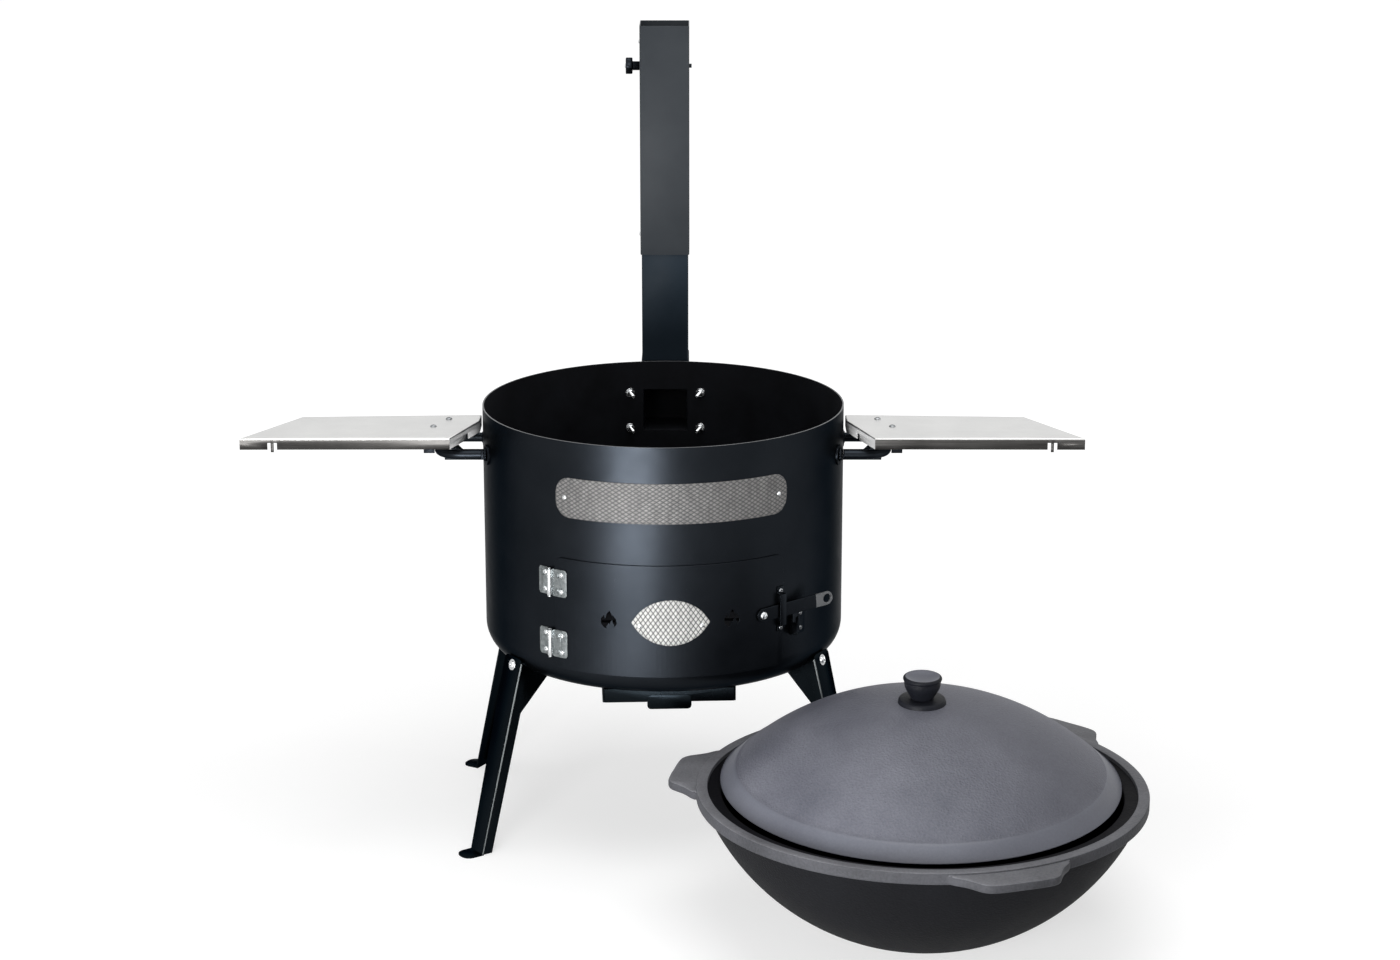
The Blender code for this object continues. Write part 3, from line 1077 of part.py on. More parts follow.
    places = []
    for x, y in ((SHELF_BOLT_A_X, SHELF_BOLT_A_Y), (SHELF_BOLT_B_X, SHELF_BOLT_B_Y)):
        places.append(frame((side * x, y, top + FIT), (0.0, 0.0, 1.0), (0.0, 1.0, 0.0)))
    nut = (NUT_SPREAD_SHARE * SHELF_SHANK_RADIUS, SHELF_SHANK_RADIUS)
    fasteners((label + "_bolt_inner", label + "_bolt_outer"), label, places,
              (SHELF_BOLT_RADIUS, SHELF_BOLT_HEIGHT), SHELF_SHANK_RADIUS,
              SHELF_SHEET + SADDLE_SHEET + 3.0 * FIT, body, nut)
    holes = tool(label + "_bolt_holes", BOLT_HOLES[label], body)
    combine(tray, holes, 'DIFFERENCE')
    combine(saddle, holes, 'DIFFERENCE')


shelf("shelf_left", -1)
shelf("shelf_right", 1)


# Flue elbow and chimney
def square(half, corner):
    """Square outline with round corners."""
    return rounded(-half, -half, half, half, corner, 2)


def square_tube(side, wall, low, high):
    """Square tube standing on the chimney's axis."""
    half = 0.5 * side
    shape = plate(square(half, TUBE_CORNER), [square(half - wall, TUBE_CORNER - wall)[::-1]], high - low)
    shape.transform(Matrix.Translation((0.0, CHIMNEY_Y, low)))
    return shape


elbow_half = 0.5 * LOWER_TUBE_SIDE + ELBOW_SHOULDER
elbow_top = DRUM_RIM_Z - ELBOW_TOP_DROP
stub_half = 0.5 * LOWER_TUBE_SIDE - TUBE_WALL - FIT
duct_half = stub_half - TUBE_WALL
duct_start = DRUM_RADIUS - 5.0 * ELBOW_WALL
outside = [(duct_start, FLUE_HOLE_LOW_Z - ELBOW_WALL), (CHIMNEY_Y + elbow_half, FLUE_HOLE_LOW_Z - ELBOW_WALL),
           (CHIMNEY_Y + elbow_half, elbow_top), (CHIMNEY_Y - elbow_half, elbow_top),
           (CHIMNEY_Y - elbow_half, FLUE_HOLE_TOP_Z + ELBOW_WALL), (duct_start, FLUE_HOLE_TOP_Z + ELBOW_WALL)]
bore_top = elbow_top + ELBOW_STUB_HEIGHT + OVERRUN
bore_line = [(duct_start - OVERRUN, FLUE_HOLE_LOW_Z), (CHIMNEY_Y + duct_half, FLUE_HOLE_LOW_Z),
             (CHIMNEY_Y + duct_half, bore_top), (CHIMNEY_Y - duct_half, bore_top),
             (CHIMNEY_Y - duct_half, FLUE_HOLE_TOP_Z), (duct_start - OVERRUN, FLUE_HOLE_TOP_Z)]
side_on = Matrix(((0.0, 0.0, 1.0, 0.0), (1.0, 0.0, 0.0, 0.0), (0.0, 1.0, 0.0, 0.0), (0.0, 0.0, 0.0, 1.0)))
elbow_box = plate(outside, [], 2.0 * elbow_half)
elbow_box.transform(Matrix.Translation((-elbow_half, 0.0, 0.0)) @ side_on)
elbow = put("flue_elbow", elbow_box, BLACK)
stub = plate(square(stub_half, TUBE_CORNER - TUBE_WALL), [], ELBOW_STUB_HEIGHT + OVERRUN)
stub.transform(Matrix.Translation((0.0, CHIMNEY_Y, elbow_top - OVERRUN)))
combine(elbow, tool("flue_stub", stub), 'UNION')
flange_sheet = plate(rounded(-FLUE_FLANGE_HALF_WIDTH, FLUE_HOLE_LOW_Z - FLUE_FLANGE_MARGIN, FLUE_FLANGE_HALF_WIDTH,
                             FLUE_HOLE_TOP_Z + FLUE_FLANGE_MARGIN, 0.5 * FLUE_FLANGE_MARGIN), [],
                     2.0 * FLUE_FLANGE_THICKNESS)
bmesh.ops.translate(flange_sheet, vec=(0.0, 0.0, -FLUE_FLANGE_THICKNESS), verts=flange_sheet.verts[:])
combine(elbow, tool("flue_flange", wrap(flange_sheet, BACK)), 'UNION')
combine(elbow, drum_space, 'DIFFERENCE')
bore = plate(bore_line, [], 2.0 * duct_half)
bore.transform(Matrix.Translation((-duct_half, 0.0, 0.0)) @ side_on)
combine(elbow, tool("flue_bore", bore), 'DIFFERENCE')

flue_out = PLATE_RADIUS + FLUE_FLANGE_THICKNESS + FIT
flue_angle = math.degrees(math.asin(FLUE_BOLT_X / DRUM_RADIUS))
places = []
for height in (FLUE_BOLT_LOW_Z, FLUE_BOLT_TOP_Z):
    for side in (-1, 1):
        places.append(wall_frame(BACK + side * flue_angle, flue_out, height))
nut = (NUT_SPREAD_SHARE * FLUE_SHANK_RADIUS, FLUE_NUT_HEIGHT)
flue_grip = flue_out - WALL_INSIDE + FIT
FLUE_BOLTS = ("flue_bolt_low_left", "flue_bolt_low_right", "flue_bolt_top_left", "flue_bolt_top_right")
fasteners(FLUE_BOLTS, "drum", places, (FLUE_BOLT_RADIUS, FLUE_BOLT_HEIGHT), FLUE_SHANK_RADIUS, flue_grip,
          None, nut, 8, FLUE_BOLT_LENGTH - FLUE_NUT_HEIGHT)

put("chimney_lower", square_tube(LOWER_TUBE_SIDE, TUBE_WALL, elbow_top + FIT, LOWER_TUBE_TOP_Z), BLACK)
pivot("chimney_pivot", (0.0, CHIMNEY_Y, UPPER_TUBE_LOW_Z))
sleeve = put("chimney_upper", square_tube(UPPER_TUBE_SIDE, TUBE_WALL, UPPER_TUBE_LOW_Z, UPPER_TUBE_TOP_Z), BLACK,
             "chimney_pivot")
sleeve_half = 0.5 * UPPER_TUBE_SIDE
places = [frame((-sleeve_half - FIT, CHIMNEY_Y, height), (-1.0, 0.0, 0.0), (0.0, 0.0, 1.0))
          for height in (CLAMP_SCREW_Z, SEAM_SCREW_Z)]
fasteners(("chimney_clamp_screw", "chimney_seam_screw"), "sleeve", places,
          (CLAMP_HEAD_RADIUS, CLAMP_HEAD_HEIGHT), CLAMP_SHANK_RADIUS,
          sleeve_half - 0.5 * LOWER_TUBE_SIDE, "chimney_pivot")

# Damper: a plate on a shaft across the sleeve, turned by a star knob
pivot("damper_pivot", (0.0, CHIMNEY_Y, DAMPER_Z), "chimney_pivot")
shaft_left = -sleeve_half - FIT - KNOB_STEM_LENGTH - KNOB_THICKNESS
shaft_right = sleeve_half + DAMPER_SHAFT_END
to_left = frame((shaft_right, CHIMNEY_Y, DAMPER_Z), (-1.0, 0.0, 0.0), (0.0, 0.0, 1.0))
shaft = lathe([(DAMPER_SHAFT_RADIUS, 0.0), (DAMPER_SHAFT_RADIUS, shaft_right - shaft_left)], 12)
shaft.transform(to_left)
flap = put("damper_flap", shaft, BLACK, "damper_pivot")
half = DAMPER_PLATE_HALF
leaf = block((-half, CHIMNEY_Y - 0.5 * DAMPER_PLATE_THICKNESS, DAMPER_Z - half),
             (half, CHIMNEY_Y + 0.5 * DAMPER_PLATE_THICKNESS, DAMPER_Z + half))
combine(flap, tool("damper_leaf", leaf, "damper_pivot"), 'UNION')
for place in (to_left @ Matrix.Translation((0.0, 0.0, DAMPER_SHAFT_END + TUBE_WALL)),
              to_left @ Matrix.Translation((0.0, 0.0, DAMPER_SHAFT_END + UPPER_TUBE_SIDE))):
    drill("sleeve", place, DAMPER_SHAFT_RADIUS + FIT, TUBE_WALL)
stem_frame = frame((-sleeve_half - FIT, CHIMNEY_Y, DAMPER_Z), (-1.0, 0.0, 0.0), (0.0, 0.0, 1.0))
bore_radius = DAMPER_SHAFT_RADIUS + FIT
lobes = []
for number in range(6 * KNOB_LOBES):
    turn = 2.0 * math.pi * number / (6 * KNOB_LOBES)
    reach = KNOB_RADIUS * (1.0 - KNOB_LOBE_DEPTH_SHARE * (0.5 - 0.5 * math.cos(KNOB_LOBES * turn)))
    lobes.append((reach * math.cos(turn), reach * math.sin(turn)))
star = plate(lobes, [circle(0.0, 0.0, bore_radius)[::-1]], KNOB_THICKNESS)
star.transform(stem_frame @ Matrix.Translation((0.0, 0.0, KNOB_STEM_LENGTH)))
star_knob = put("damper_knob", star, BLACK, "damper_pivot")
ring = [(KNOB_STEM_RADIUS, 0.0), (KNOB_STEM_RADIUS, KNOB_STEM_LENGTH + 0.3 * KNOB_THICKNESS),
        (bore_radius, KNOB_STEM_LENGTH + 0.3 * KNOB_THICKNESS), (bore_radius, 0.0)]
stem = lathe(ring, 12, closed=True)
stem.transform(stem_frame)
combine(star_knob, tool("damper_stem", stem, "damper_pivot"), 'UNION')

# Cauldron
pivot("cauldron_pivot", (POT_X, POT_Y, 0.0))
pot_centre_z = math.sqrt(POT_SPHERE_RADIUS ** 2 - POT_FOOT_RADIUS ** 2)
rim_low = POT_RIM_Z - POT_RIM_SIDE
ledge_z = POT_RIM_Z - POT_LEDGE_DROP
pot_line = []
low_angle = math.atan2(-pot_centre_z, POT_FOOT_RADIUS)
top_angle = math.asin((rim_low - pot_centre_z) / POT_SPHERE_RADIUS)
for number in range(POT_ARC_STEPS + 1):
    angle = low_angle + (top_angle - low_angle) * number / POT_ARC_STEPS
    pot_line.append((POT_SPHERE_RADIUS * math.cos(angle), pot_centre_z + POT_SPHERE_RADIUS * math.sin(angle)))
soft = 0.25 * POT_LEDGE_DROP
pot_line += [(POT_RIM_RADIUS - soft, rim_low), (POT_RIM_RADIUS, rim_low + soft), (POT_RIM_RADIUS, POT_RIM_Z - soft),
             (POT_RIM_RADIUS - soft, POT_RIM_Z), (POT_RIM_RADIUS - POT_RIM_FACE, POT_RIM_Z),
             (POT_RIM_RADIUS - POT_RIM_FACE, ledge_z), (POT_LEDGE_RADIUS, ledge_z)]
inner_radius = POT_SPHERE_RADIUS - POT_WALL
start_angle = -math.acos(POT_LEDGE_RADIUS / inner_radius)
inner_foot = math.sqrt(inner_radius ** 2 - (pot_centre_z - POT_WALL) ** 2)
end_angle = math.atan2(-(pot_centre_z - POT_WALL), inner_foot)
for number in range(POT_ARC_STEPS + 1):
    angle = start_angle + (end_angle - start_angle) * number / POT_ARC_STEPS
    pot_line.append((inner_radius * math.cos(angle), pot_centre_z + inner_radius * math.sin(angle)))
pot_shape = lathe(pot_line, POT_STEPS)
pot_shape.transform(Matrix.Translation((POT_X, POT_Y, 0.0)))
pot = put("cauldron_pot", pot_shape, IRON, "cauldron_pivot")
lug_root = POT_RIM_RADIUS - LUG_ROOT_DEPTH
lug_run = LUG_TIP_RADIUS - lug_root
one_side = [(lug_root + lug_run * a, LUG_HALF_WIDTH * b) for a, b in zip(LUG_OUT_SHARES, LUG_WIDTH_SHARES)]
lug_line = [(x, -y) for x, y in one_side] + one_side[::-1]
lugs = []
for degrees in LUG_ANGLES:
    lug = plate(lug_line, [], LUG_THICKNESS)
    lug.transform(Matrix.Translation((POT_X, POT_Y, POT_RIM_Z - LUG_DROP - LUG_THICKNESS))
                  @ Matrix.Rotation(math.radians(degrees), 4, 'Z'))
    lugs.append(lug)
combine(pot, tool("cauldron_lugs", join(*lugs), "cauldron_pivot"), 'UNION')

# Lid, seated on the ledge at its sides and on the rim behind
ledge_sine = (POT_LEDGE_RADIUS ** 2 - LID_RADIUS ** 2 - LID_SHIFT ** 2) / (2.0 * LID_SHIFT * LID_RADIUS)
rim_inner = POT_RIM_RADIUS - POT_RIM_FACE
rim_sine = (rim_inner ** 2 - LID_RADIUS ** 2 - LID_SHIFT ** 2) / (2.0 * LID_SHIFT * LID_RADIUS)
lid_slope = POT_LEDGE_DROP / (LID_RADIUS * (rim_sine - ledge_sine))
lid_tilt = math.atan(lid_slope)
lid_z = ledge_z - LID_RADIUS * ledge_sine * lid_slope + FIT
pivot("lid_pivot", (POT_X, POT_Y + LID_SHIFT, lid_z), "cauldron_pivot")
lid_sphere = (LID_RADIUS ** 2 + LID_HEIGHT ** 2) / (2.0 * LID_HEIGHT)
lid_centre = LID_HEIGHT - lid_sphere
collar_angle = math.acos(COLLAR_RADIUS / lid_sphere)
edge_angle = math.acos(LID_RADIUS / lid_sphere)
lid_line = []
for number in range(LID_ARC_STEPS + 1):
    angle = edge_angle + (collar_angle - edge_angle) * number / LID_ARC_STEPS
    lid_line.append((lid_sphere * math.cos(angle), lid_centre + lid_sphere * math.sin(angle)))
stud_bore = LID_STUD_RADIUS + FIT
collar_top = LID_HEIGHT + COLLAR_HEIGHT
lid_line += [(COLLAR_RADIUS, collar_top), (stud_bore, collar_top)]
lid_inside = lid_sphere - LID_WALL
lid_line.append((stud_bore, lid_centre + lid_inside))
bottom_angle = math.asin(-lid_centre / lid_inside)
for number in range(LID_ARC_STEPS):
    angle = math.radians(90.0) + (bottom_angle - math.radians(90.0)) * (number + 1) / LID_ARC_STEPS
    lid_line.append((lid_inside * math.cos(angle), lid_centre + lid_inside * math.sin(angle)))
lid_place = Matrix.Translation((POT_X, POT_Y + LID_SHIFT, lid_z)) @ Matrix.Rotation(lid_tilt, 4, 'X')
lid_shape = lathe(lid_line, POT_STEPS, closed=True)
lid_shape.transform(lid_place)
put("cauldron_lid", lid_shape, IRON, "lid_pivot")

knob_low = collar_top + FIT
knob_top = LID_HEIGHT + LID_KNOB_HEIGHT
nut_top = lid_centre + lid_inside * math.cos(math.asin(LID_NUT_RADIUS / lid_inside)) - FIT
knob_line = [(LID_NUT_RADIUS, nut_top - LID_NUT_HEIGHT), (LID_NUT_RADIUS, nut_top), (LID_STUD_RADIUS, nut_top),
             (LID_STUD_RADIUS, knob_low), (LID_KNOB_NECK, knob_low), (LID_KNOB_NECK, knob_top - 1.4 * LID_KNOB_CUP)]
knob_line += arc(LID_KNOB_RADIUS - 0.5 * LID_KNOB_CUP, knob_top - 0.5 * LID_KNOB_CUP, 0.5 * LID_KNOB_CUP,
                 -70.0, 90.0, 5)
knob_line += [(0.55 * LID_KNOB_RADIUS, knob_top - 0.55 * LID_KNOB_HOLLOW),
              (0.25 * LID_KNOB_RADIUS, knob_top - LID_KNOB_HOLLOW)]
knob = lathe(knob_line, LID_KNOB_STEPS)
knob.transform(lid_place)
put("lid_knob", knob, IRON, "lid_pivot")

# Bolt holes
drum_holes = tool("drum_bolt_holes", BOLT_HOLES["drum"])
for piece in (drum, elbow):
    combine(piece, drum_holes, 'DIFFERENCE')
door_holes = tool("door_bolt_holes", join(BOLT_HOLES["door"], BOLT_HOLES["pivot"]), "door_pivot")
combine(door, door_holes, 'DIFFERENCE')
leg_holes = tool("leg_bolt_holes", BOLT_HOLES["leg"])
for piece in legs + brackets:
    combine(piece, leg_holes, 'DIFFERENCE')
combine(sleeve, tool("sleeve_holes", BOLT_HOLES["sleeve"], "chimney_pivot"), 'DIFFERENCE')

# Centre the whole set over the origin, standing on z = 0
bpy.context.view_layer.update()
graph = bpy.context.evaluated_depsgraph_get()
corners = []
for piece in bpy.data.objects:
    if piece.type == 'MESH' and not piece.hide_render:
        shown = piece.evaluated_get(graph)
        corners += [piece.matrix_world @ vert.co for vert in shown.data.vertices]
low = Vector([min(corner[axis] for corner in corners) for axis in range(3)])
high = Vector([max(corner[axis] for corner in corners) for axis in range(3)])
ROOT.location = (-0.5 * (low.x + high.x), -0.5 * (low.y + high.y), -low.z)
bpy.context.view_layer.update()
print("set centred by", [round(value, 6) for value in ROOT.location])
for name, empty in EMPTIES.items():
    if name:
        print("axis", name, [round(value, 6) for value in empty.matrix_world.translation])
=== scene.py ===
"""Looks of the cauldron stove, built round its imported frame. Lengths are in metres."""
from math import acos, asin, atan, atan2, cos, degrees, hypot, pi, radians, sin, sqrt

import bmesh
import bpy
from mathutils import Matrix, Vector


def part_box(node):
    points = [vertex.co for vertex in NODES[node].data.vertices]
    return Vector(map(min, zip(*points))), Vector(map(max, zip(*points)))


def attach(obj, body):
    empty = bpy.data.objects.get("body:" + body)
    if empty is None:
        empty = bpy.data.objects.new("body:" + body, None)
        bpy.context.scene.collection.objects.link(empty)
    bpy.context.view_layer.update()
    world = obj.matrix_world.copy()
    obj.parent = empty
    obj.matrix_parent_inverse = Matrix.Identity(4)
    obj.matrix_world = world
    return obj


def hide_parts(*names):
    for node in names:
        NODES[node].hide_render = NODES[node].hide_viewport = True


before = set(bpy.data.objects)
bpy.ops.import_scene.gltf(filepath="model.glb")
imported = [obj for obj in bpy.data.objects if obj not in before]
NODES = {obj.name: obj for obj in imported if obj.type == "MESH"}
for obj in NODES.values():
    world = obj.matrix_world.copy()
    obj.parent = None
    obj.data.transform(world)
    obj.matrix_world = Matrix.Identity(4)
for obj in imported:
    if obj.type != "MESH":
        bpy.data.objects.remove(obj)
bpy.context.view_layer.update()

# The pieces are drawn with the drum's axis at x = y = 0 and then moved to the row frame
DRUM_LOW, DRUM_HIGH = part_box("drum_shell")
SHIFT = Matrix.Translation((0.5 * (DRUM_LOW.x + DRUM_HIGH.x), 0.5 * (DRUM_LOW.y + DRUM_HIGH.y), 0.0))
BACK_SHIFT = SHIFT.inverted()

# Sizes of the solids: the gap between parts that touch, the drum, and its rounded lower edge
FIT = 0.0003
RADIUS = 0.25
WALL = 0.002
RIM_Z = 0.595
BOTTOM_Z = 0.247
KNUCKLE = 0.04
KNUCKLE_RING = RADIUS - KNUCKLE
KNUCKLE_Z = BOTTOM_Z + KNUCKLE
# Degrees from straight ahead to the stove's front, and the facets of the solids' round walls
FRONT_TURN = 2.8
FACET = radians(6.0)
KNUCKLE_FACET = radians(22.5)
DRUM_TURN = radians(FRONT_TURN - 90.0)
# Radius at which a part lies on the drum, the door's outside, and a part that lies on the door
PLATE = RADIUS + FIT
DOOR_OUT = PLATE + WALL
ON_DOOR = DOOR_OUT + FIT
SIDES = ((-1, "left"), (1, "right"))
UP = Vector((0.0, 0.0, 1.0))


def add_object(name, data):
    """Object of the data, in the scene."""
    made = bpy.data.objects.new(name, data)
    bpy.context.scene.collection.objects.link(made)
    return made


# Camera
def stand_camera():
    """Camera where the photograph was taken from, seen from the drum's axis."""
    data = bpy.data.cameras.new("camera")
    data.lens = 77.14
    data.sensor_width = 36.0
    data.clip_end = 60.0
    made = add_object("camera", data)
    made.location = SHIFT @ Vector((0.051, -4.035, 1.595))
    made.rotation_euler = (radians(90.0 - 15.41), 0.0, 0.0)
    bpy.context.scene.camera = made


stand_camera()


# Materials
def add(tree, kind, inputs=(), **settings):
    """Node with its settings and inputs, each a value or another node's output."""
    made = tree.nodes.new("ShaderNode" + kind)
    for key, value in settings.items():
        setattr(made, key, value)
    for key, value in dict(inputs).items():
        if isinstance(value, bpy.types.NodeSocket):
            tree.links.new(value, made.inputs[key])
        else:
            made.inputs[key].default_value = value
    return made


def start(name, roughness=0.5, metallic=0.0, specular=0.5):
    """Principled material, its shader and the coordinates of the piece."""
    made = bpy.data.materials.new(name)
    made.use_nodes = True
    shader = made.node_tree.nodes["Principled BSDF"]
    for key, value in (("Roughness", roughness), ("Metallic", metallic), ("Specular IOR Level", specular)):
        shader.inputs[key].default_value = value
    return made, shader, add(made.node_tree, "TexCoord").outputs["Object"]


def stretched(place, scale):
    """Coordinates scaled by three numbers."""
    return add(place.id_data, "Mapping", {"Vector": place, "Scale": scale}).outputs["Vector"]


def noise(place, scale, detail=3.0, roughness=0.55):
    """Noise between 0 and 1."""
    return add(place.id_data, "TexNoise", {"Vector": place, "Scale": scale, "Detail": detail,
                                           "Roughness": roughness}).outputs[0]


def spread(value, low, high, to_low=0.0, to_high=1.0):
    """Value of one range moved to another."""
    return add(value.id_data, "MapRange", {"Value": value, "From Min": low, "From Max": high,
                                           "To Min": to_low, "To Max": to_high}).outputs[0]


def blend(amount, first, second):
    """Colour between two, each three numbers or another node's output."""
    first, second = [value if isinstance(value, bpy.types.NodeSocket) else (*value, 1.0)
                     for value in (first, second)]
    return add(amount.id_data, "Mix", {0: amount, 6: first, 7: second}, data_type='RGBA').outputs[2]


def sums(operation, first, second=0.0):
    """Result of a sum with two values, of which one at least is another node's output."""
    output = first if isinstance(first, bpy.types.NodeSocket) else second
    return add(output.id_data, "Math", {0: first, 1: second}, operation=operation).outputs[0]


def weighed(first, second, share):
    """Sum of two values, the first one counting for a share of one."""
    return sums('ADD', sums('MULTIPLY', first, share), sums('MULTIPLY', second, 1.0 - share))


def relief(height, strength, distance, below=None):
    """Normal from a height, laid over another relief."""
    inputs = {"Height": height, "Strength": strength, "Distance": distance}
    if below is not None:
        inputs["Normal"] = below
    return add(height.id_data, "Bump", inputs).outputs[0]


def drive(shader, colour, roughness, normal):
    """Link what varies over a surface."""
    for name, value in (("Base Color", colour), ("Roughness", roughness), ("Normal", normal)):
        shader.id_data.links.new(value, shader.inputs[name])


def enamel(name, low, high, rough, metallic=1.0, specular=0.15):
    """Baked black paint: a fine orange peel, faint smudges and pale specks of dust."""
    made, shader, place = start(name, metallic=metallic, specular=specular)
    shader.inputs["Specular Tint"].default_value = (0.415, 0.42, 0.425, 1.0)
    tint = blend(spread(noise(place, 7.0, 4.0), 0.3, 0.7), low, high)
    specks = spread(noise(place, 420.0, 2.0), 0.7, 0.78, 0.0, 0.3)
    smudge = noise(place, 23.0, 5.0, 0.6)
    sheet = relief(noise(place, 11.0, 2.0), 0.2, 0.0016)
    drive(shader, blend(specks, tint, (0.05, 0.054, 0.06)),
          spread(smudge, 0.25, 0.75, rough - 0.04, rough + 0.05),
          relief(noise(place, 1500.0, 2.0), 0.12, 0.0004, sheet))
    return made


def painted_inside_shade(name):
    """Very dark matt colour on the inside of the fire drum, painted as shade."""
    made, shader, place = start(name, specular=0.08)
    cloud = spread(noise(place, 14.0, 6.0, 0.65), 0.3, 0.7)
    drive(shader, blend(cloud, (0.003, 0.0032, 0.004), (0.0075, 0.0082, 0.0105)),
          spread(cloud, 0.0, 1.0, 0.55, 0.75), relief(noise(place, 900.0), 0.25, 0.0005))
    return made


def steel(name, low, high, rough, stroke, metallic=1.0):
    """Bare or plated steel with fine strokes along one direction."""
    made, shader, place = start(name, metallic=metallic)
    strokes = noise(stretched(place, stroke), 1.0, 4.0, 0.7)
    tone = weighed(strokes, noise(place, 18.0), 0.6)
    drive(shader, blend(spread(tone, 0.35, 0.65), low, high),
          spread(strokes, 0.3, 0.7, rough - 0.06, rough + 0.09), relief(strokes, 0.1, 0.0003))
    return made


def iron(name, low, high, rough, grain, specular):
    """Seasoned cast iron: sand-cast pebbles, pits and a patchy oil film."""
    made, shader, place = start(name, specular=specular)
    film = noise(place, 9.0, 5.0, 0.6)
    fine = noise(place, 330.0, 3.0, 0.6)
    tone = weighed(film, fine, 0.65)
    pits = add(place.id_data, "TexVoronoi", {"Vector": place, "Scale": 300.0}).outputs["Distance"]
    coarse = relief(pits, 0.5 * grain, 0.001)
    drive(shader, blend(spread(tone, 0.35, 0.65), low, high),
          spread(film, 0.3, 0.7, rough - 0.07, rough + 0.09), relief(fine, grain, 0.0009, coarse))
    return made


def diamond_steel(name, middle, middle_z, cell, low, high):
    """Stainless sheet with bright diamonds and grooves painted dark as shade, at the places of its
    embossing.
    """
    made, shader, place = start(name, metallic=0.15)
    parts = add(place.id_data, "SeparateXYZ", {0: place}).outputs
    across = sums('SUBTRACT', parts["X"], SHIFT.translation.x)
    away = sums('SUBTRACT', SHIFT.translation.y, parts["Y"])
    angle = sums('SUBTRACT', sums('ARCTAN2', across, away), radians(middle + FRONT_TURN))
    first = sums('MULTIPLY', angle, pi * PLATE / cell[0])
    second = sums('MULTIPLY', sums('SUBTRACT', parts["Z"], middle_z), pi / cell[1])
    ridges = [sums('ABSOLUTE', sums('SINE', sums(kind, first, second))) for kind in ('ADD', 'SUBTRACT')]
    raised = spread(sums('MINIMUM', *ridges), 0.16, 0.52)
    cloud = noise(stretched(place, (160.0, 160.0, 40.0)), 1.0)
    bright = blend(spread(cloud, 0.3, 0.7), low, high)
    # The grooves between the diamonds get a near-black colour: painted shade
    drive(shader, blend(raised, (0.04, 0.042, 0.045), bright),
          spread(raised, 0.0, 1.0, 0.6, 0.5), relief(noise(place, 700.0), 0.1, 0.0002))
    return made


# Embossed plates: width and height of a diamond, and where their middles are
NAME_CELL = (0.009, 0.0058)
BADGE_CELL = (0.0066, 0.0092)
NAME_MIDDLE = 1.0
NAME_Z = 0.5185
BADGE_Z = 0.3555

PAINT = enamel("black_enamel", (0.013, 0.0155, 0.019), (0.019, 0.022, 0.0265), 0.35)
PAINT_TUBE = enamel("chimney_enamel", (0.036, 0.041, 0.047), (0.052, 0.058, 0.065), 0.46, 0.0, 0.16)
PAINT_LOW = enamel("lower_tube_enamel", (0.015, 0.023, 0.032), (0.024, 0.034, 0.046), 0.44, 0.0, 0.14)
PAINT_LEG = enamel("leg_enamel", (0.006, 0.008, 0.01), (0.009, 0.012, 0.0145), 0.27)
# Lighter strip painted on the legs' rounded folds as a highlight
FOLD_HIGHLIGHT = steel("fold_painted_highlight", (0.095, 0.105, 0.108), (0.165, 0.18, 0.182), 0.4, (120.0, 120.0, 40.0), 0.2)
# Near-black colour painted as shade inside the drum, the door and the flue elbow
INSIDE_SHADE = painted_inside_shade("inside_painted_shade")
# Lighter grey painted on the drum rim's top faces as a highlight
RIM_HIGHLIGHT = steel("rim_top_painted_highlight", (0.06, 0.064, 0.07), (0.14, 0.145, 0.15), 0.38, (300.0,) * 3, 0.4)
# One stainless steel in two copies for the way light falls: painted darker on the nameplate as shade,
# lighter on the badge as light
NAME_STEEL_SHADED = diamond_steel("embossed_name_steel_painted_shade", NAME_MIDDLE, NAME_Z, NAME_CELL, (0.115, 0.111, 0.108),
                           (0.195, 0.19, 0.185))
BADGE_STEEL_LIT = diamond_steel("embossed_badge_steel_painted_light", 0.0, BADGE_Z, BADGE_CELL, (0.37, 0.37, 0.36),
                            (0.53, 0.53, 0.51))
BRUSHED = steel("brushed_top", (0.6, 0.6, 0.595), (0.7, 0.7, 0.69), 0.34, (9.0, 1500.0, 1500.0))
# Shaded and lit copies of the shelf steel: the front skirt painted dark as shade, the slanted skirt painted
# pale as light
SKIRT_SHADE = steel("front_skirt_painted_shade", (0.05, 0.048, 0.046), (0.1, 0.097, 0.093), 0.4, (9.0, 900.0, 900.0), 0.7)
SLANT_LIGHT = steel("slanted_skirt_painted_light", (0.56, 0.56, 0.56), (0.8, 0.8, 0.8), 0.5, (900.0, 900.0, 12.0), 0.05)
ZINC = steel("zinc_plate", (0.62, 0.64, 0.65), (0.8, 0.81, 0.82), 0.26, (260.0,) * 3)
LEAF = steel("zinc_leaf", (0.13, 0.15, 0.155), (0.34, 0.36, 0.365), 0.36, (210.0,) * 3)
DULL = steel("dull_screw", (0.16, 0.17, 0.18), (0.42, 0.43, 0.44), 0.34, (400.0,) * 3)
BARE = steel("bare_ring_end", (0.105, 0.11, 0.116), (0.165, 0.17, 0.176), 0.42, (300.0, 900.0, 900.0), 0.6)
IRON = iron("pot_iron", (0.003, 0.0032, 0.0042), (0.007, 0.0074, 0.0092), 0.68, 0.55, 0.1)
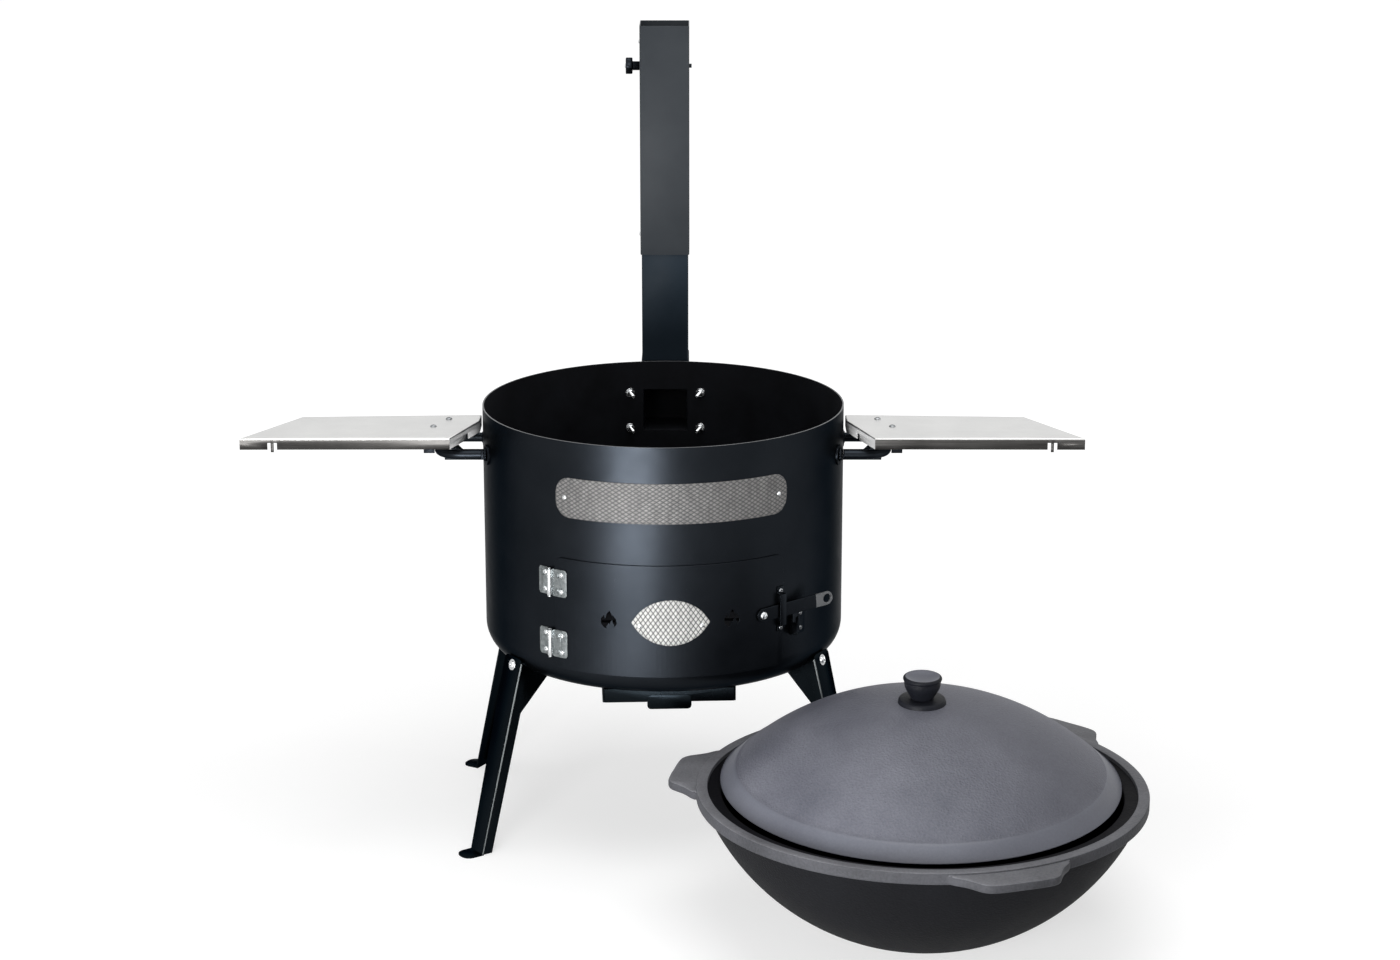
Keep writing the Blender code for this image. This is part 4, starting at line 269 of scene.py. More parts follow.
# Near-black iron painted as shade inside the pot and on the ledge the lid lies on
IRON_INSIDE_SHADE = iron("pot_inside_painted_shade", (0.0015, 0.0015, 0.0022), (0.0032, 0.0032, 0.0045), 0.62, 0.35, 0.05)
IRON_RIM = iron("rim_iron", (0.082, 0.083, 0.091), (0.16, 0.162, 0.176), 0.6, 0.6, 0.22)
IRON_SIDE = iron("rim_side_iron", (0.034, 0.035, 0.039), (0.07, 0.071, 0.08), 0.62, 0.55, 0.18)
IRON_LID = iron("lid_iron", (0.07, 0.073, 0.092), (0.13, 0.133, 0.158), 0.52, 0.95, 0.3)
# Smoother iron of the lid's border band, also painted on the knob's dished top as a highlight
BAND_IRON_AND_KNOB_HIGHLIGHT = iron("lid_band_and_knob_highlight_iron", (0.09, 0.094, 0.116), (0.122, 0.128, 0.155), 0.42, 0.16, 0.4)
IRON_KNOB = iron("knob_iron", (0.0035, 0.004, 0.006), (0.01, 0.011, 0.015), 0.46, 0.3, 0.12)


# Shapes
def turn_frame(origin, out, up=UP):
    """Matrix with z along out and y along up."""
    out = Vector(out).normalized()
    up = Vector(up).normalized()
    turn = Matrix((up.cross(out), up, out)).transposed().to_4x4()
    return Matrix.Translation(origin) @ turn


def wall_frame(azimuth, radius, height):
    """Frame on the drum's wall: x along it, y up, z outwards."""
    angle = radians(azimuth + FRONT_TURN)
    out = Vector((sin(angle), -cos(angle), 0.0))
    return turn_frame(out * radius + UP * height, out)


def copy_of(node):
    """CAD node's shape as a new clean bmesh, with the drum's axis at the origin."""
    shape = bmesh.new()
    shape.from_mesh(NODES[node].data)
    shape.transform(BACK_SHIFT)
    bmesh.ops.remove_doubles(shape, verts=shape.verts[:], dist=0.00001)
    bmesh.ops.dissolve_limit(shape, angle_limit=0.003, verts=shape.verts[:], edges=shape.edges[:])
    return shape


def slice_at(shape, point, normal):
    """Cut the faces along a plane without removing anything."""
    everything = shape.verts[:] + shape.edges[:] + shape.faces[:]
    bmesh.ops.bisect_plane(shape, geom=everything, plane_co=point, plane_no=normal)


def round_out(shape, knuckle=False, parts=4):
    """Turn the drum's facets into a true round wall, with the pieces that follow it."""
    for number in range(30):
        for part in range(1, parts):
            angle = DRUM_TURN + FACET * (number + part / parts)
            slice_at(shape, (0.0, 0.0, 0.0), (-sin(angle), cos(angle), 0.0))
    half = 0.5 * KNUCKLE_FACET
    if knuckle:
        for number in range(4):
            for part in range(1, parts):
                aside = KNUCKLE_FACET * part / parts - half
                angle = KNUCKLE_FACET * number + half + aside - radians(90.0)
                height = KNUCKLE_Z + KNUCKLE * cos(half) / cos(aside) * sin(angle)
                slice_at(shape, (0.0, 0.0, height), (0.0, 0.0, 1.0))
    for vert in shape.verts:
        x, y, z = vert.co
        radius = hypot(x, y)
        angle = atan2(y, x)
        aside = (angle - DRUM_TURN) % FACET - 0.5 * FACET
        radius *= cos(aside) / cos(0.5 * FACET)
        if knuckle and z < KNUCKLE_Z and radius > KNUCKLE_RING:
            slope = atan2(z - KNUCKLE_Z, radius - KNUCKLE_RING)
            off = (slope + radians(90.0)) % KNUCKLE_FACET - half
            grow = cos(off) / cos(half)
            radius = KNUCKLE_RING + (radius - KNUCKLE_RING) * grow
            z = KNUCKLE_Z + (z - KNUCKLE_Z) * grow
        vert.co = (radius * cos(angle), radius * sin(angle), z)
    return shape


def soften(shape, width, sharp=35.0):
    """Real chamfers on the sharp edges."""
    edges = [edge for edge in shape.edges
             if len(edge.link_faces) == 2 and edge.calc_face_angle(0.0) > radians(sharp)]
    bmesh.ops.bevel(shape, geom=edges, offset=width, segments=1, affect='EDGES', clamp_overlap=True,
                    profile=0.5)
    return shape


def round_normals(mesh, within=9.0):
    """Normals of the true round on the wall and the knuckle, and of the face everywhere else."""
    limit = cos(radians(within))
    centre = SHIFT.translation
    normals = []
    for face in mesh.polygons:
        for index in face.vertices:
            spot = mesh.vertices[index].co - centre
            out = Vector((spot.x, spot.y, 0.0)).normalized()
            if spot.z < KNUCKLE_Z - 0.0001 and hypot(spot.x, spot.y) > KNUCKLE_RING:
                out = (spot - out * KNUCKLE_RING - UP * KNUCKLE_Z).normalized()
            side = out.dot(face.normal)
            normals.append(out if side > limit else -out if side < -limit else face.normal.copy())
    mesh.normals_split_custom_set(normals)


def turns(steps):
    """Angles of one full turn."""
    return [2.0 * pi * index / steps for index in range(steps)]


def between(first, last, steps):
    """Even steps from one value to another, with both ends."""
    return [first + (last - first) * index / steps for index in range(steps + 1)]


def arc(x, y, radius, first, sweep, steps):
    """Points on a circle from an angle in degrees through a sweep."""
    angles = [radians(first + sweep * index / steps) for index in range(steps + 1)]
    return [(x + radius * cos(angle), y + radius * sin(angle)) for angle in angles]


def spot_at(shape, radius, angle, height):
    """New vertex at a radius and an angle."""
    return shape.verts.new((radius * cos(angle), radius * sin(angle), height))


def bridge(shape, lower, upper):
    """Faces between two closed rows of vertices."""
    for index in range(len(lower)):
        after = (index + 1) % len(lower)
        shape.faces.new((lower[index], lower[after], upper[after], upper[index]))


def close_rows(shape, rows, ring=False):
    """Faces from row to row, and over both ends unless the rows run round in a ring."""
    for lower, upper in zip(rows, rows[1:] + rows[:1] if ring else rows[1:]):
        bridge(shape, lower, upper)
    if not ring:
        shape.faces.new(rows[0][::-1])
        shape.faces.new(rows[-1])
    return shape


def lathe(profile, steps, reach=None, ring=False):
    """Profile of (radius, height) points turned about z; reach scales a radius by its angle."""
    shape = bmesh.new()
    rows = [[spot_at(shape, radius * (reach(angle) if reach else 1.0), angle, height)
             for angle in turns(steps)] for radius, height in profile]
    return close_rows(shape, rows, ring)


def thicken(shape, thickness):
    """Give a flat shape a thickness along z."""
    raised = bmesh.ops.extrude_face_region(shape, geom=shape.faces[:])
    moved = [item for item in raised["geom"] if isinstance(item, bmesh.types.BMVert)]
    bmesh.ops.translate(shape, vec=(0.0, 0.0, thickness), verts=moved)


def mesh_of(name, shape):
    """Mesh from a bmesh, which is freed."""
    mesh = bpy.data.meshes.new(name)
    shape.to_mesh(mesh)
    shape.free()
    return mesh


def merge(shapes):
    """One bmesh that holds several."""
    first = shapes[0]
    for other in shapes[1:]:
        mesh = mesh_of("merged", other)
        first.from_mesh(mesh)
        bpy.data.meshes.remove(mesh)
    return first


def copies(shape, places):
    """One bmesh with the shape at each of the places."""
    parts = []
    for place in places:
        part = shape.copy()
        part.transform(place)
        parts.append(part)
    shape.free()
    return merge(parts)


BLACK = "satin_black_enamel"


def make(name, shape, finish, body, slot=BLACK, nodes=(), bevel=0.0, pick=None, sharp=35.0):
    """Object from a bmesh, riding on a body and standing for CAD nodes."""
    bmesh.ops.recalc_face_normals(shape, faces=shape.faces[:])
    if all(edge.is_manifold for edge in shape.edges) and shape.calc_volume(signed=True) < 0.0:
        bmesh.ops.reverse_faces(shape, faces=shape.faces[:])
    if pick:
        for face in shape.faces:
            face.material_index = pick(face.calc_center_median(), face.normal)
    shape.transform(SHIFT)
    mesh = mesh_of(name, shape)
    for one in finish if isinstance(finish, list) else [finish]:
        mesh.materials.append(one)
    mesh.shade_smooth()
    made = add_object(name, mesh)
    if bevel:
        edge = made.modifiers.new("edges", 'BEVEL')
        edge.width = bevel
        edge.segments = 2
        edge.limit_method = 'ANGLE'
        edge.angle_limit = radians(sharp)
        edge.harden_normals = True
    else:
        mesh.set_sharp_from_angle(angle=radians(sharp))
    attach(made, body)
    if nodes:
        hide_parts(*nodes)
    return made


def skin(node, shape, finish, body, slot=BLACK, **settings):
    """Object that stands for one CAD node."""
    return make(node + "_skin", shape, finish, body, slot, (node,), **settings)


def dress(node, finish=PAINT, body="stove", bevel=0.0003, slot=BLACK, pick=None):
    """CAD node's own shape with its edges softened."""
    skin(node, copy_of(node), finish, body, slot, bevel=bevel, pick=pick)


# Drum and door
def drum_finish(point, normal):
    """Painted shade inside and on the bottom, and a painted highlight on the rim's top."""
    radius = hypot(point.x, point.y)
    outward = normal.x * point.x + normal.y * point.y
    # The rim's upward faces get the painted highlight
    if point.z > RIM_Z - 0.0015 and normal.z > 0.3:
        return 2
    return 1 if outward < -0.3 * radius or (normal.z > 0.6 and point.z < RIM_Z - 0.01) else 0


def door_finish(point, normal):
    """Painted shade inside."""
    outward = normal.x * point.x + normal.y * point.y
    return 1 if outward < -0.7 * hypot(point.x, point.y) else 0


drum = skin("drum_shell", round_out(soften(copy_of("drum_shell"), 0.0004, 50.0), True), [PAINT, INSIDE_SHADE, RIM_HIGHLIGHT],
            "stove", pick=drum_finish)
round_normals(drum.data)
door = skin("door_panel", round_out(soften(copy_of("door_panel"), 0.0004)), [PAINT, INSIDE_SHADE], "door",
            pick=door_finish)
round_normals(door.data)

# Flame-shaped tongues inside the door's vents
VENT_AZIMUTH, VENT_Z, TONGUE_ASIDE = 19.0, 0.3447, 0.0022
TONGUE = ((-0.005, -0.0002), (0.0042, -0.0002), (0.0058, 0.003), (0.0052, 0.0062), (0.0034, 0.0088),
          (0.003, 0.0128), (0.0004, 0.0098), (-0.0006, 0.0066), (-0.0022, 0.0078), (-0.004, 0.005),
          (-0.0056, 0.0028))
tongue = bmesh.new()
tongue.faces.new([tongue.verts.new((x, y, 0.0)) for x, y in TONGUE])
thicken(tongue, WALL)
places = [wall_frame(side * VENT_AZIMUTH, PLATE, VENT_Z) @ Matrix.Translation((TONGUE_ASIDE, 0.0, 0.0))
          for side in (-1, 1)]
make("vent_tongues", copies(tongue, places), PAINT, "door", bevel=0.0002)
dress("fire_grate", IRON, "grate", 0.0006, "cast_iron")


def fold_round(shape, width, out, aside):
    """Round the long fold between two sides of a leg and paint a lighter highlight along it."""
    folds = [edge for edge in shape.edges if edge.calc_length() > 0.2 and len(edge.link_faces) == 2
             and max(face.normal.dot(out) for face in edge.link_faces) > 0.9
             and max(face.normal.dot(aside) for face in edge.link_faces) > 0.9]
    made = bmesh.ops.bevel(shape, geom=folds, offset=width, segments=5, affect='EDGES',
                           clamp_overlap=False, profile=0.5)
    for face in made["faces"]:
        # The rounded fold gets the painted highlight
        face.material_index = 1


# Azimuth of each leg, and the side of its fold
LEGS = {"front_right": (57.5, -1), "rear_right": (122.5, 1), "rear_left": (237.5, -1),
        "front_left": (-57.5, 1)}
for leg, (azimuth, fold) in LEGS.items():
    turn = wall_frame(azimuth, 0.0, 0.0).to_3x3()
    shape = copy_of("leg_" + leg)
    shape.normal_update()
    fold_round(shape, 0.0016, turn @ UP, turn @ Vector((fold, 0.0, 0.0)))
    skin("leg_" + leg, shape, [PAINT_LEG, FOLD_HIGHLIGHT], "stove", bevel=0.0004)
    dress("leg_bracket_" + leg, PAINT_LEG, bevel=0.0004)
dress("ash_rail_left")
dress("ash_rail_right")
dress("ash_pan", PAINT_LEG, "ash_pan")

# Chimney: where its tube stands behind the drum, half its width, and a height just above the elbow's floor
FLUE_Y, FLUE_HALF, FLUE_FLOOR_Z = 0.29, 0.034, 0.5


def elbow_finish(point, normal):
    """Painted shade on the elbow's back and floor, which the flue hole shows."""
    back = normal.y < -0.3 and point.y > RADIUS + 0.01
    return 1 if abs(point.x) < FLUE_HALF and (back or (normal.z > 0.3 and point.z < FLUE_FLOOR_Z)) else 0


dress("flue_elbow", [PAINT, INSIDE_SHADE], bevel=0.0006, pick=elbow_finish)
dress("chimney_lower", PAINT_LOW)
dress("chimney_upper", PAINT_TUBE, "chimney_sleeve")
dress("damper_flap", PAINT, "damper")
dress("damper_knob", PAINT, "damper", 0.001)
dress("latch_guide", PAINT, "door")
dress("latch_keeper")


# Shelves: trays of thin sheet with a folded skirt all round
SHELF_TOP, SHEET, SKIRT_HEIGHT, FOLD_RADIUS = 0.5715, 0.0012, 0.016, 0.0022
# Cut-outs in the skirt: a bottle opener with a tongue in its middle, and a notch
OPENER, OPENER_HALF, OPENER_HEIGHT, TONGUE_HALF, TONGUE_DROP = 0.528, 0.0065, 0.0095, 0.002, 0.0035
NOTCH_SHARE, NOTCH_HALF, NOTCH_HEIGHT = 0.42, 0.004, 0.008
TRAY = ((0.572, -0.11), (0.502, 0.01), (0.2535, 0.022), (0.2535, -0.014), (0.288, -0.108))


def inset(points, depth):
    """Outline of points drawn in by a depth on every side."""
    moved = []
    for index, here in enumerate(points):
        before, after = points[index - 1], points[(index + 1) % len(points)]
        first = (here - before).normalized()
        second = (after - here).normalized()
        normals = [Vector((-way.y, way.x)) for way in (first, second)]
        half_way = (normals[0] + normals[1]).normalized()
        moved.append(here + half_way * (depth / half_way.dot(normals[0])))
    return moved


def tray_shape(side):
    """Outer skin of one tray; its thickness comes from a modifier."""
    corners = [Vector(corner) for corner in TRAY]

    def stops(points):
        """Corners with the ends of the two cut-outs between them, and which stretches are cut."""
        found, cut = [], []
        for index, here in enumerate(points):
            found.append(here)
            cut.append(0)
            side_line = points[(index + 1) % len(points)] - here
            way = side_line.normalized()
            spans = ()
            if index == 3:
                middle = NOTCH_SHARE * side_line.length
                spans = ((middle - NOTCH_HALF, 3), (middle + NOTCH_HALF, 0))
            elif index == 4:
                middle = (Vector((OPENER, here.y)) - here).dot(way)
                spans = ((middle - OPENER_HALF, 1), (middle - TONGUE_HALF, 2), (middle + TONGUE_HALF, 1),
                         (middle + OPENER_HALF, 0))
            for span, kind in spans:
                found.append(here + way * span)
                cut.append(kind)
        return found, cut

    rows = []
    for number in range(5):
        angle = radians(22.5 * number)
        depth = FOLD_RADIUS * (1.0 - sin(angle))
        rows.append((inset(corners, depth), SHELF_TOP - FOLD_RADIUS * (1.0 - cos(angle))))
    low = SHELF_TOP - SKIRT_HEIGHT
    for height in (low + OPENER_HEIGHT, low + NOTCH_HEIGHT, low):
        rows.append((corners, height))
    shape = bmesh.new()
    rings = []
    cut = []
    for points, height in rows:
        spots, cut = stops(points)
        rings.append([shape.verts.new((side * spot.x, spot.y, height)) for spot in spots])
    shape.faces.new(rings[0])
    for level, (upper, lower) in enumerate(zip(rings, rings[1:])):
        for index, kind in enumerate(cut):
            after = (index + 1) % len(cut)
            if kind == 1 and level >= 5 or kind == 3 and level >= 6:
                continue
            shape.faces.new((upper[index], upper[after], lower[after], lower[index]))
    index = cut.index(2)
    root = rings[-1][index:index + 2]
    ends = [shape.verts.new(vert.co - UP * TONGUE_DROP) for vert in root]
    shape.faces.new((*root, ends[1], ends[0]))
    return shape


def tray_finish(point, normal):
    """Bright top and fold, front skirt painted dark as shade, skirt on the side that slants to the drum
    painted pale as light.
    """
    if point.z > SHELF_TOP - 0.9 * FOLD_RADIUS:
        return 0
    return 2 if abs(point.x) < 0.2895 and normal.x * point.x < 0.0 else 1


for side, hand in SIDES:
    body = "shelf_" + hand
    tray = skin(body + "_tray", tray_shape(side), [BRUSHED, SKIRT_SHADE, SLANT_LIGHT], body, "brushed_shelf_steel",
                pick=tray_finish, sharp=40.0)
    sheet = tray.modifiers.new("sheet", 'SOLIDIFY')
    sheet.thickness = SHEET
    sheet.offset = -1.0
    sheet.use_even_offset = True
    dress(body + "_saddle", PAINT, body)


# Embossed plates
def wrapped(half_width, half_height, inner, middle, middle_z, thickness=0.0008, step=0.001, emboss=0.0006,
            centre=0.0, cell=(1.0, 1.0)):
    """Sheet that follows the drum's round, plain or embossed all over with raised diamonds."""
    across = max(8, int(2.0 * half_width / step))
    rows = 2 * max(4, int(half_height(0.0) / step))
    shape = bmesh.new()
    sides = []
    for face in (0, 1):
        grid = []
        for column in range(across + 1):
            u = half_width * (2.0 * column / across - 1.0)
            reach = half_height(u)
            line = []
            for row in range(rows + 1):
                v = reach * (2.0 * row / rows - 1.0)
                out = inner
                if face:
                    ridges = [abs(sin(pi * (u / cell[0] + kind * v / cell[1]))) for kind in (-1, 1)]
                    fade = min(1.0, max(0.0, (min(reach - abs(v), half_width - abs(u)) - 0.0006) / 0.0018))
                    rim = min(row, rows - row, column, across - column)
                    out += thickness * (0.75 if rim == 0 else 1.0)
                    out += emboss * fade * min(1.0, 1.7 * min(ridges)) ** 1.2
                angle = radians(middle + FRONT_TURN) + (u + centre) / PLATE
                line.append(shape.verts.new((out * sin(angle), -out * cos(angle), middle_z + v)))
            grid.append(line)
        sides.append(grid)
        for column in range(across):
            for row in range(rows):
                shape.faces.new((grid[column][row], grid[column + 1][row], grid[column + 1][row + 1],
                                 grid[column][row + 1]))
    back, front = sides
    pairs = [((column, row), (column + 1, row)) for column in range(across) for row in (0, rows)]
    pairs += [((column, row), (column, row + 1)) for row in range(rows) for column in (0, across)]
    for (column, row), (next_column, next_row) in pairs:
        shape.faces.new((back[column][row], back[next_column][next_row], front[next_column][next_row],
                         front[column][row]))
    return shape


def round_bar(half_width, half_height, corner):
    """Half height, along the width, of a rectangle with round corners."""
    def reach(u):
        over = max(0.0, abs(u) - (half_width - corner))
        return half_height - corner + sqrt(max(0.0, corner ** 2 - over ** 2))
    return reach


def lens(half_width, half_height):
    """Half height, along the width, of two arcs that meet in points."""
    sweep = (half_width ** 2 + half_height ** 2) / (2.0 * half_height)
    return lambda u: sqrt(sweep ** 2 - u ** 2) - (sweep - half_height)


NAME_HALF = radians(37.8) * PLATE
name_sheet = wrapped(NAME_HALF, round_bar(NAME_HALF, 0.0275, 0.022), PLATE, NAME_MIDDLE, NAME_Z,
                     cell=NAME_CELL)
skin("nameplate", name_sheet, NAME_STEEL_SHADED, "stove", "embossed_stainless", sharp=50.0)
badge_sheet = wrapped(0.0516, lens(0.052, 0.0315), ON_DOOR, 0.0, BADGE_Z, cell=BADGE_CELL)
skin("door_badge", badge_sheet, BADGE_STEEL_LIT, "door", "embossed_stainless", sharp=50.0)


# Fasteners
def pan_head(radius, height, recess=True, steps=40, rings=9):
    """Domed screw head with a cross recess."""
    shape = bmesh.new()
    rows = []
    for ring in range(rings + 1):
        share = ring / rings
        far = radius * (1.0 - share)
        row = []
        for angle in turns(steps):
            x, y = far * cos(angle), far * sin(angle)
            z = height * sqrt(max(0.0, 1.0 - (1.0 - share) ** 2.6))
            if recess and far < 0.6 * radius and min(abs(x), abs(y)) < 0.13 * radius:
                z -= 0.45 * height
            row.append(shape.verts.new((x, y, z)))
            if ring == rings:
                break
        rows.append(row)
    rows.insert(0, [spot_at(shape, radius, angle, -0.0002) for angle in turns(steps)])
    for lower, upper in zip(rows, rows[1:-1]):
        bridge(shape, lower, upper)
    last, tip = rows[-2], rows[-1][0]
    for index in range(steps):
        shape.faces.new((last[index], last[(index + 1) % steps], tip))
    shape.faces.new(rows[0][::-1])
    return shape


def hexagon(radius, height, low=0.0):
    """Hexagonal nut or head with chamfered corners, standing on z = low."""
    tip = 0.12 * height
    profile = [(0.9 * radius, low), (radius, low + tip), (radius, low + height - tip),
               (0.9 * radius, low + height)]
    half = radians(30.0)
    return lathe(profile, 48, lambda angle: cos(half) / cos(angle % radians(60.0) - half))


def shank(radius, low, high, steps=20):
    """Plain round rod."""
    return lathe([(radius, low), (radius, high)], steps)


def washer(radius, bore, thickness, low=0.0):
    """Flat ring."""
    soft = 0.2 * thickness
    profile = [(bore, low), (radius - soft, low), (radius, low + soft), (radius, low + thickness - soft),
               (radius - soft, low + thickness), (bore, low + thickness)]
    return lathe(profile, 40, ring=True)


def threaded(radius, low, high, pitch=0.0009):
    """Screw thread drawn as close ridges."""
    profile = []
    count = int((high - low) / pitch)
    for number in range(count):
        base = low + (high - low) * number / count
        profile += [(0.86 * radius, base), (radius, base + 0.45 * pitch), (radius, base + 0.55 * pitch)]
    profile += [(0.86 * radius, high), (0.6 * radius, high + 0.0004)]
    return lathe(profile, 20)


def place_all(name, shapes, places, body, finish=ZINC, nodes=()):
    """Small shapes set together at several places, as one piece."""
    make(name, copies(merge(shapes), places), finish, body, "zinc_fasteners", nodes, sharp=38.0)


def fasten(node, shapes, place, body, finish=ZINC):
    """Small shapes that stand for one CAD node."""
    place_all(node + "_skin", shapes, [place], body, finish, (node,))


def pair(name, head, azimuth, aside, out, height, lift, body, finish=ZINC):
    """Two like heads on the drum's wall, side by side or one above the other."""
    places = [wall_frame(azimuth + side * aside, out, height + side * lift) for side in (-1, 1)]
    place_all(name, [head], places, body, finish)


# Hinges: each leaf's body, its two ends along the wall, what it lies on, and its screws
HINGE, LEAF_HALF, LEAF_SHEET = -38.8, 0.019, 0.0015
LEAVES = (("fixed", "stove", -0.0215, -0.0042, PLATE, -0.01),
          ("door", "door", 0.0042, 0.0262, ON_DOOR, 0.0182))
for label, height in (("hinge_upper", 0.3985), ("hinge_lower", 0.3135)):
    for kind, body, x0, x1, base, screw_x in LEAVES:
        part = label + "_" + kind
        half = 0.5 * (x1 - x0)
        leaf = wrapped(half, round_bar(half, LEAF_HALF, 0.0035), base, HINGE, height, LEAF_SHEET, 0.002, 0.0,
                       0.5 * (x0 + x1))
        make(part + "_skin", merge([leaf, copy_of(part + "_leaf")]), LEAF, body, "zinc_fasteners",
             (part + "_leaf",), sharp=30.0)
        places = [wall_frame(HINGE, 0.0, height + lift) @ Matrix.Rotation(screw_x / PLATE, 4, 'Y')
                  @ Matrix.Translation((0.0, 0.0, base + 0.0016))
                  @ Matrix.Rotation(0.5 + 40.0 * lift + half, 4, 'Z') for lift in (-0.0118, 0.0118)]
        place_all(part + "_screws", [pan_head(0.0036, 0.0021)], places, body)
    dress(label + "_pin", ZINC, "stove", 0.0002, "zinc_fasteners")
    barrel = lathe([(0.0031, -0.0178), (0.0034, -0.0174), (0.0034, -0.0066), (0.003, -0.0062),
                    (0.003, 0.0062), (0.0034, 0.0066), (0.0034, 0.0174), (0.0031, 0.0178)], 28)
    barrel.transform(wall_frame(HINGE, 0.2556, height) @ Matrix.Rotation(radians(-90.0), 4, 'X'))
    make(label + "_barrel", barrel, ZINC, "stove", "zinc_fasteners", sharp=40.0)

# Plates, latch guide and keeper
rivet, screw = (0.0033, 0.002, False), (0.0032, 0.0018)
pair("nameplate_rivets", pan_head(*rivet), NAME_MIDDLE, 34.5, PLATE + 0.001, NAME_Z, 0.0, "stove")
pair("badge_rivets", pan_head(*rivet), 0.0, 9.5, ON_DOOR + 0.001, 0.351, 0.0, "door")
pair("guide_screws", pan_head(*screw), 36.0, 0.0, ON_DOOR + 0.0018, 0.358, 0.026, "door", DULL)
pair("keeper_screws", pan_head(*screw), 45.0, 0.0, PLATE + 0.0015, 0.333, 0.0105, "stove", DULL)

LATCH, LATCH_Z, LEVER_SHEET = 29.4, 0.3544, 0.003
fasten("latch_pivot_bolt",
       [pan_head(0.0055, 0.0036), shank(0.003, -0.0062, 0.0, 24), hexagon(0.0051, 0.003, -0.0088)],
       wall_frame(LATCH, ON_DOOR + LEVER_SHEET + FIT, LATCH_Z), "door")

# Legs: their height, how far they reach out at the foot, and the bolt below their top
LEG_TOP, LEG_REACH, BOLT_DROP = 0.272, 0.066, 0.011
LEG_SPLAY = LEG_REACH / LEG_TOP
LEG_FOOT = PLATE + WALL + LEG_REACH - (KNUCKLE - sqrt(KNUCKLE ** 2 - (KNUCKLE_Z - LEG_TOP) ** 2))
BOLT_UP = Matrix.Translation((0.0, (LEG_TOP - BOLT_DROP) * sqrt(1.0 + LEG_SPLAY ** 2), 0.0))
for leg, (azimuth, fold) in LEGS.items():
    base = wall_frame(azimuth, 0.0, 0.0)
    out = base.to_3x3() @ Vector((0.0, LEG_SPLAY, 1.0))
    up = base.to_3x3() @ Vector((0.0, 1.0, -LEG_SPLAY))
    fasten("leg_bolt_" + leg,
           [washer(0.0075, 0.003, 0.0008), pan_head(0.0056, 0.0038), shank(0.003, -0.01, 0.0008)],
           turn_frame(base @ (UP * LEG_FOOT), out, up) @ BOLT_UP, "stove")

# Flue: its bolts reach through the flange and the drum's wall
FLUE_ASIDE = degrees(asin(0.052 / RADIUS))
INSIDE = -0.0045
for height, row in ((0.496, "low"), (0.549, "top")):
    for side, hand in SIDES:
        fasten("flue_bolt_" + row + "_" + hand,
               [pan_head(0.005, 0.0034), shank(0.0024, INSIDE, 0.0),
                washer(0.0065, 0.0022, 0.0007, INSIDE - 0.0007), hexagon(0.0047, 0.0034, INSIDE - 0.0041),
                threaded(0.0024, -0.0315, INSIDE)],
               wall_frame(180.0 - FRONT_TURN + side * FLUE_ASIDE, PLATE + WALL + FIT, height), "stove")

for side, hand in SIDES:
    for x, y, where in ((0.297, -0.003, "inner"), (0.315, -0.045, "outer")):
        fasten("shelf_" + hand + "_bolt_" + where,
               [pan_head(0.0046, 0.0024), shank(0.0025, -0.005, 0.0), hexagon(0.0044, 0.0026, -0.0058)],
               Matrix.Translation((side * x, y, SHELF_TOP)) @ Matrix.Rotation(0.5 + x, 4, 'Z'),
               "shelf_" + hand, DULL)

SLEEVE_HALF = 0.0355
TO_LEFT = (-1.0, 0.0, 0.0)
for height, label in ((0.7765, "clamp"), (1.057, "seam")):
    fasten("chimney_" + label + "_screw", [pan_head(0.0033, 0.0023), shank(0.0018, -0.0016, 0.0, 16)],
           turn_frame((-SLEEVE_HALF, FLUE_Y, height), TO_LEFT), "chimney_sleeve")


# Latch lever with a bare ring end, which starts at a share of its length
LEVER_LENGTH, LEVER_HALF, LEVER_HOLE, BARE_FROM = 0.103, 0.0093, 0.0062, 0.825


def lever_shape():
    """Flat bar with round ends, a hole for the pivot and one in the ring end."""
    outline = arc(0.0, 0.0, LEVER_HALF, 90.0, 180.0, 24)
    outline += [(LEVER_LENGTH * share, -LEVER_HALF) for share in (0.3, 0.6, BARE_FROM)]
    outline += arc(LEVER_LENGTH, 0.0, LEVER_HALF, -90.0, 180.0, 24)
    outline += [(LEVER_LENGTH * share, LEVER_HALF) for share in (BARE_FROM, 0.6, 0.3)]
    shape = bmesh.new()
    for loop in (outline, arc(0.0, 0.0, 0.0033, 0.0, -360.0, 24)[:-1],
                 arc(LEVER_LENGTH, 0.0, LEVER_HOLE, 0.0, -360.0, 24)[:-1]):
        verts = [shape.verts.new((x, y, 0.0)) for x, y in loop]
        for index, vert in enumerate(verts):
            shape.edges.new((vert, verts[(index + 1) % len(verts)]))
    bmesh.ops.triangle_fill(shape, use_beauty=True, use_dissolve=False, edges=shape.edges[:])
    slice_at(shape, (BARE_FROM * LEVER_LENGTH, 0.0, 0.0), (1.0, 0.0, 0.0))
    thicken(shape, LEVER_SHEET)
    return shape


LEVER_FRAME = wall_frame(LATCH, ON_DOOR, LATCH_Z) @ Matrix.Rotation(radians(3.9), 4, 'Z')
LEVER_BACK = LEVER_FRAME.inverted()
lever = lever_shape()
lever.transform(LEVER_FRAME)
skin("latch_lever", lever, [PAINT, BARE], "latch", bevel=0.0005,
     pick=lambda point, normal: 1 if (LEVER_BACK @ point).x > BARE_FROM * LEVER_LENGTH else 0)


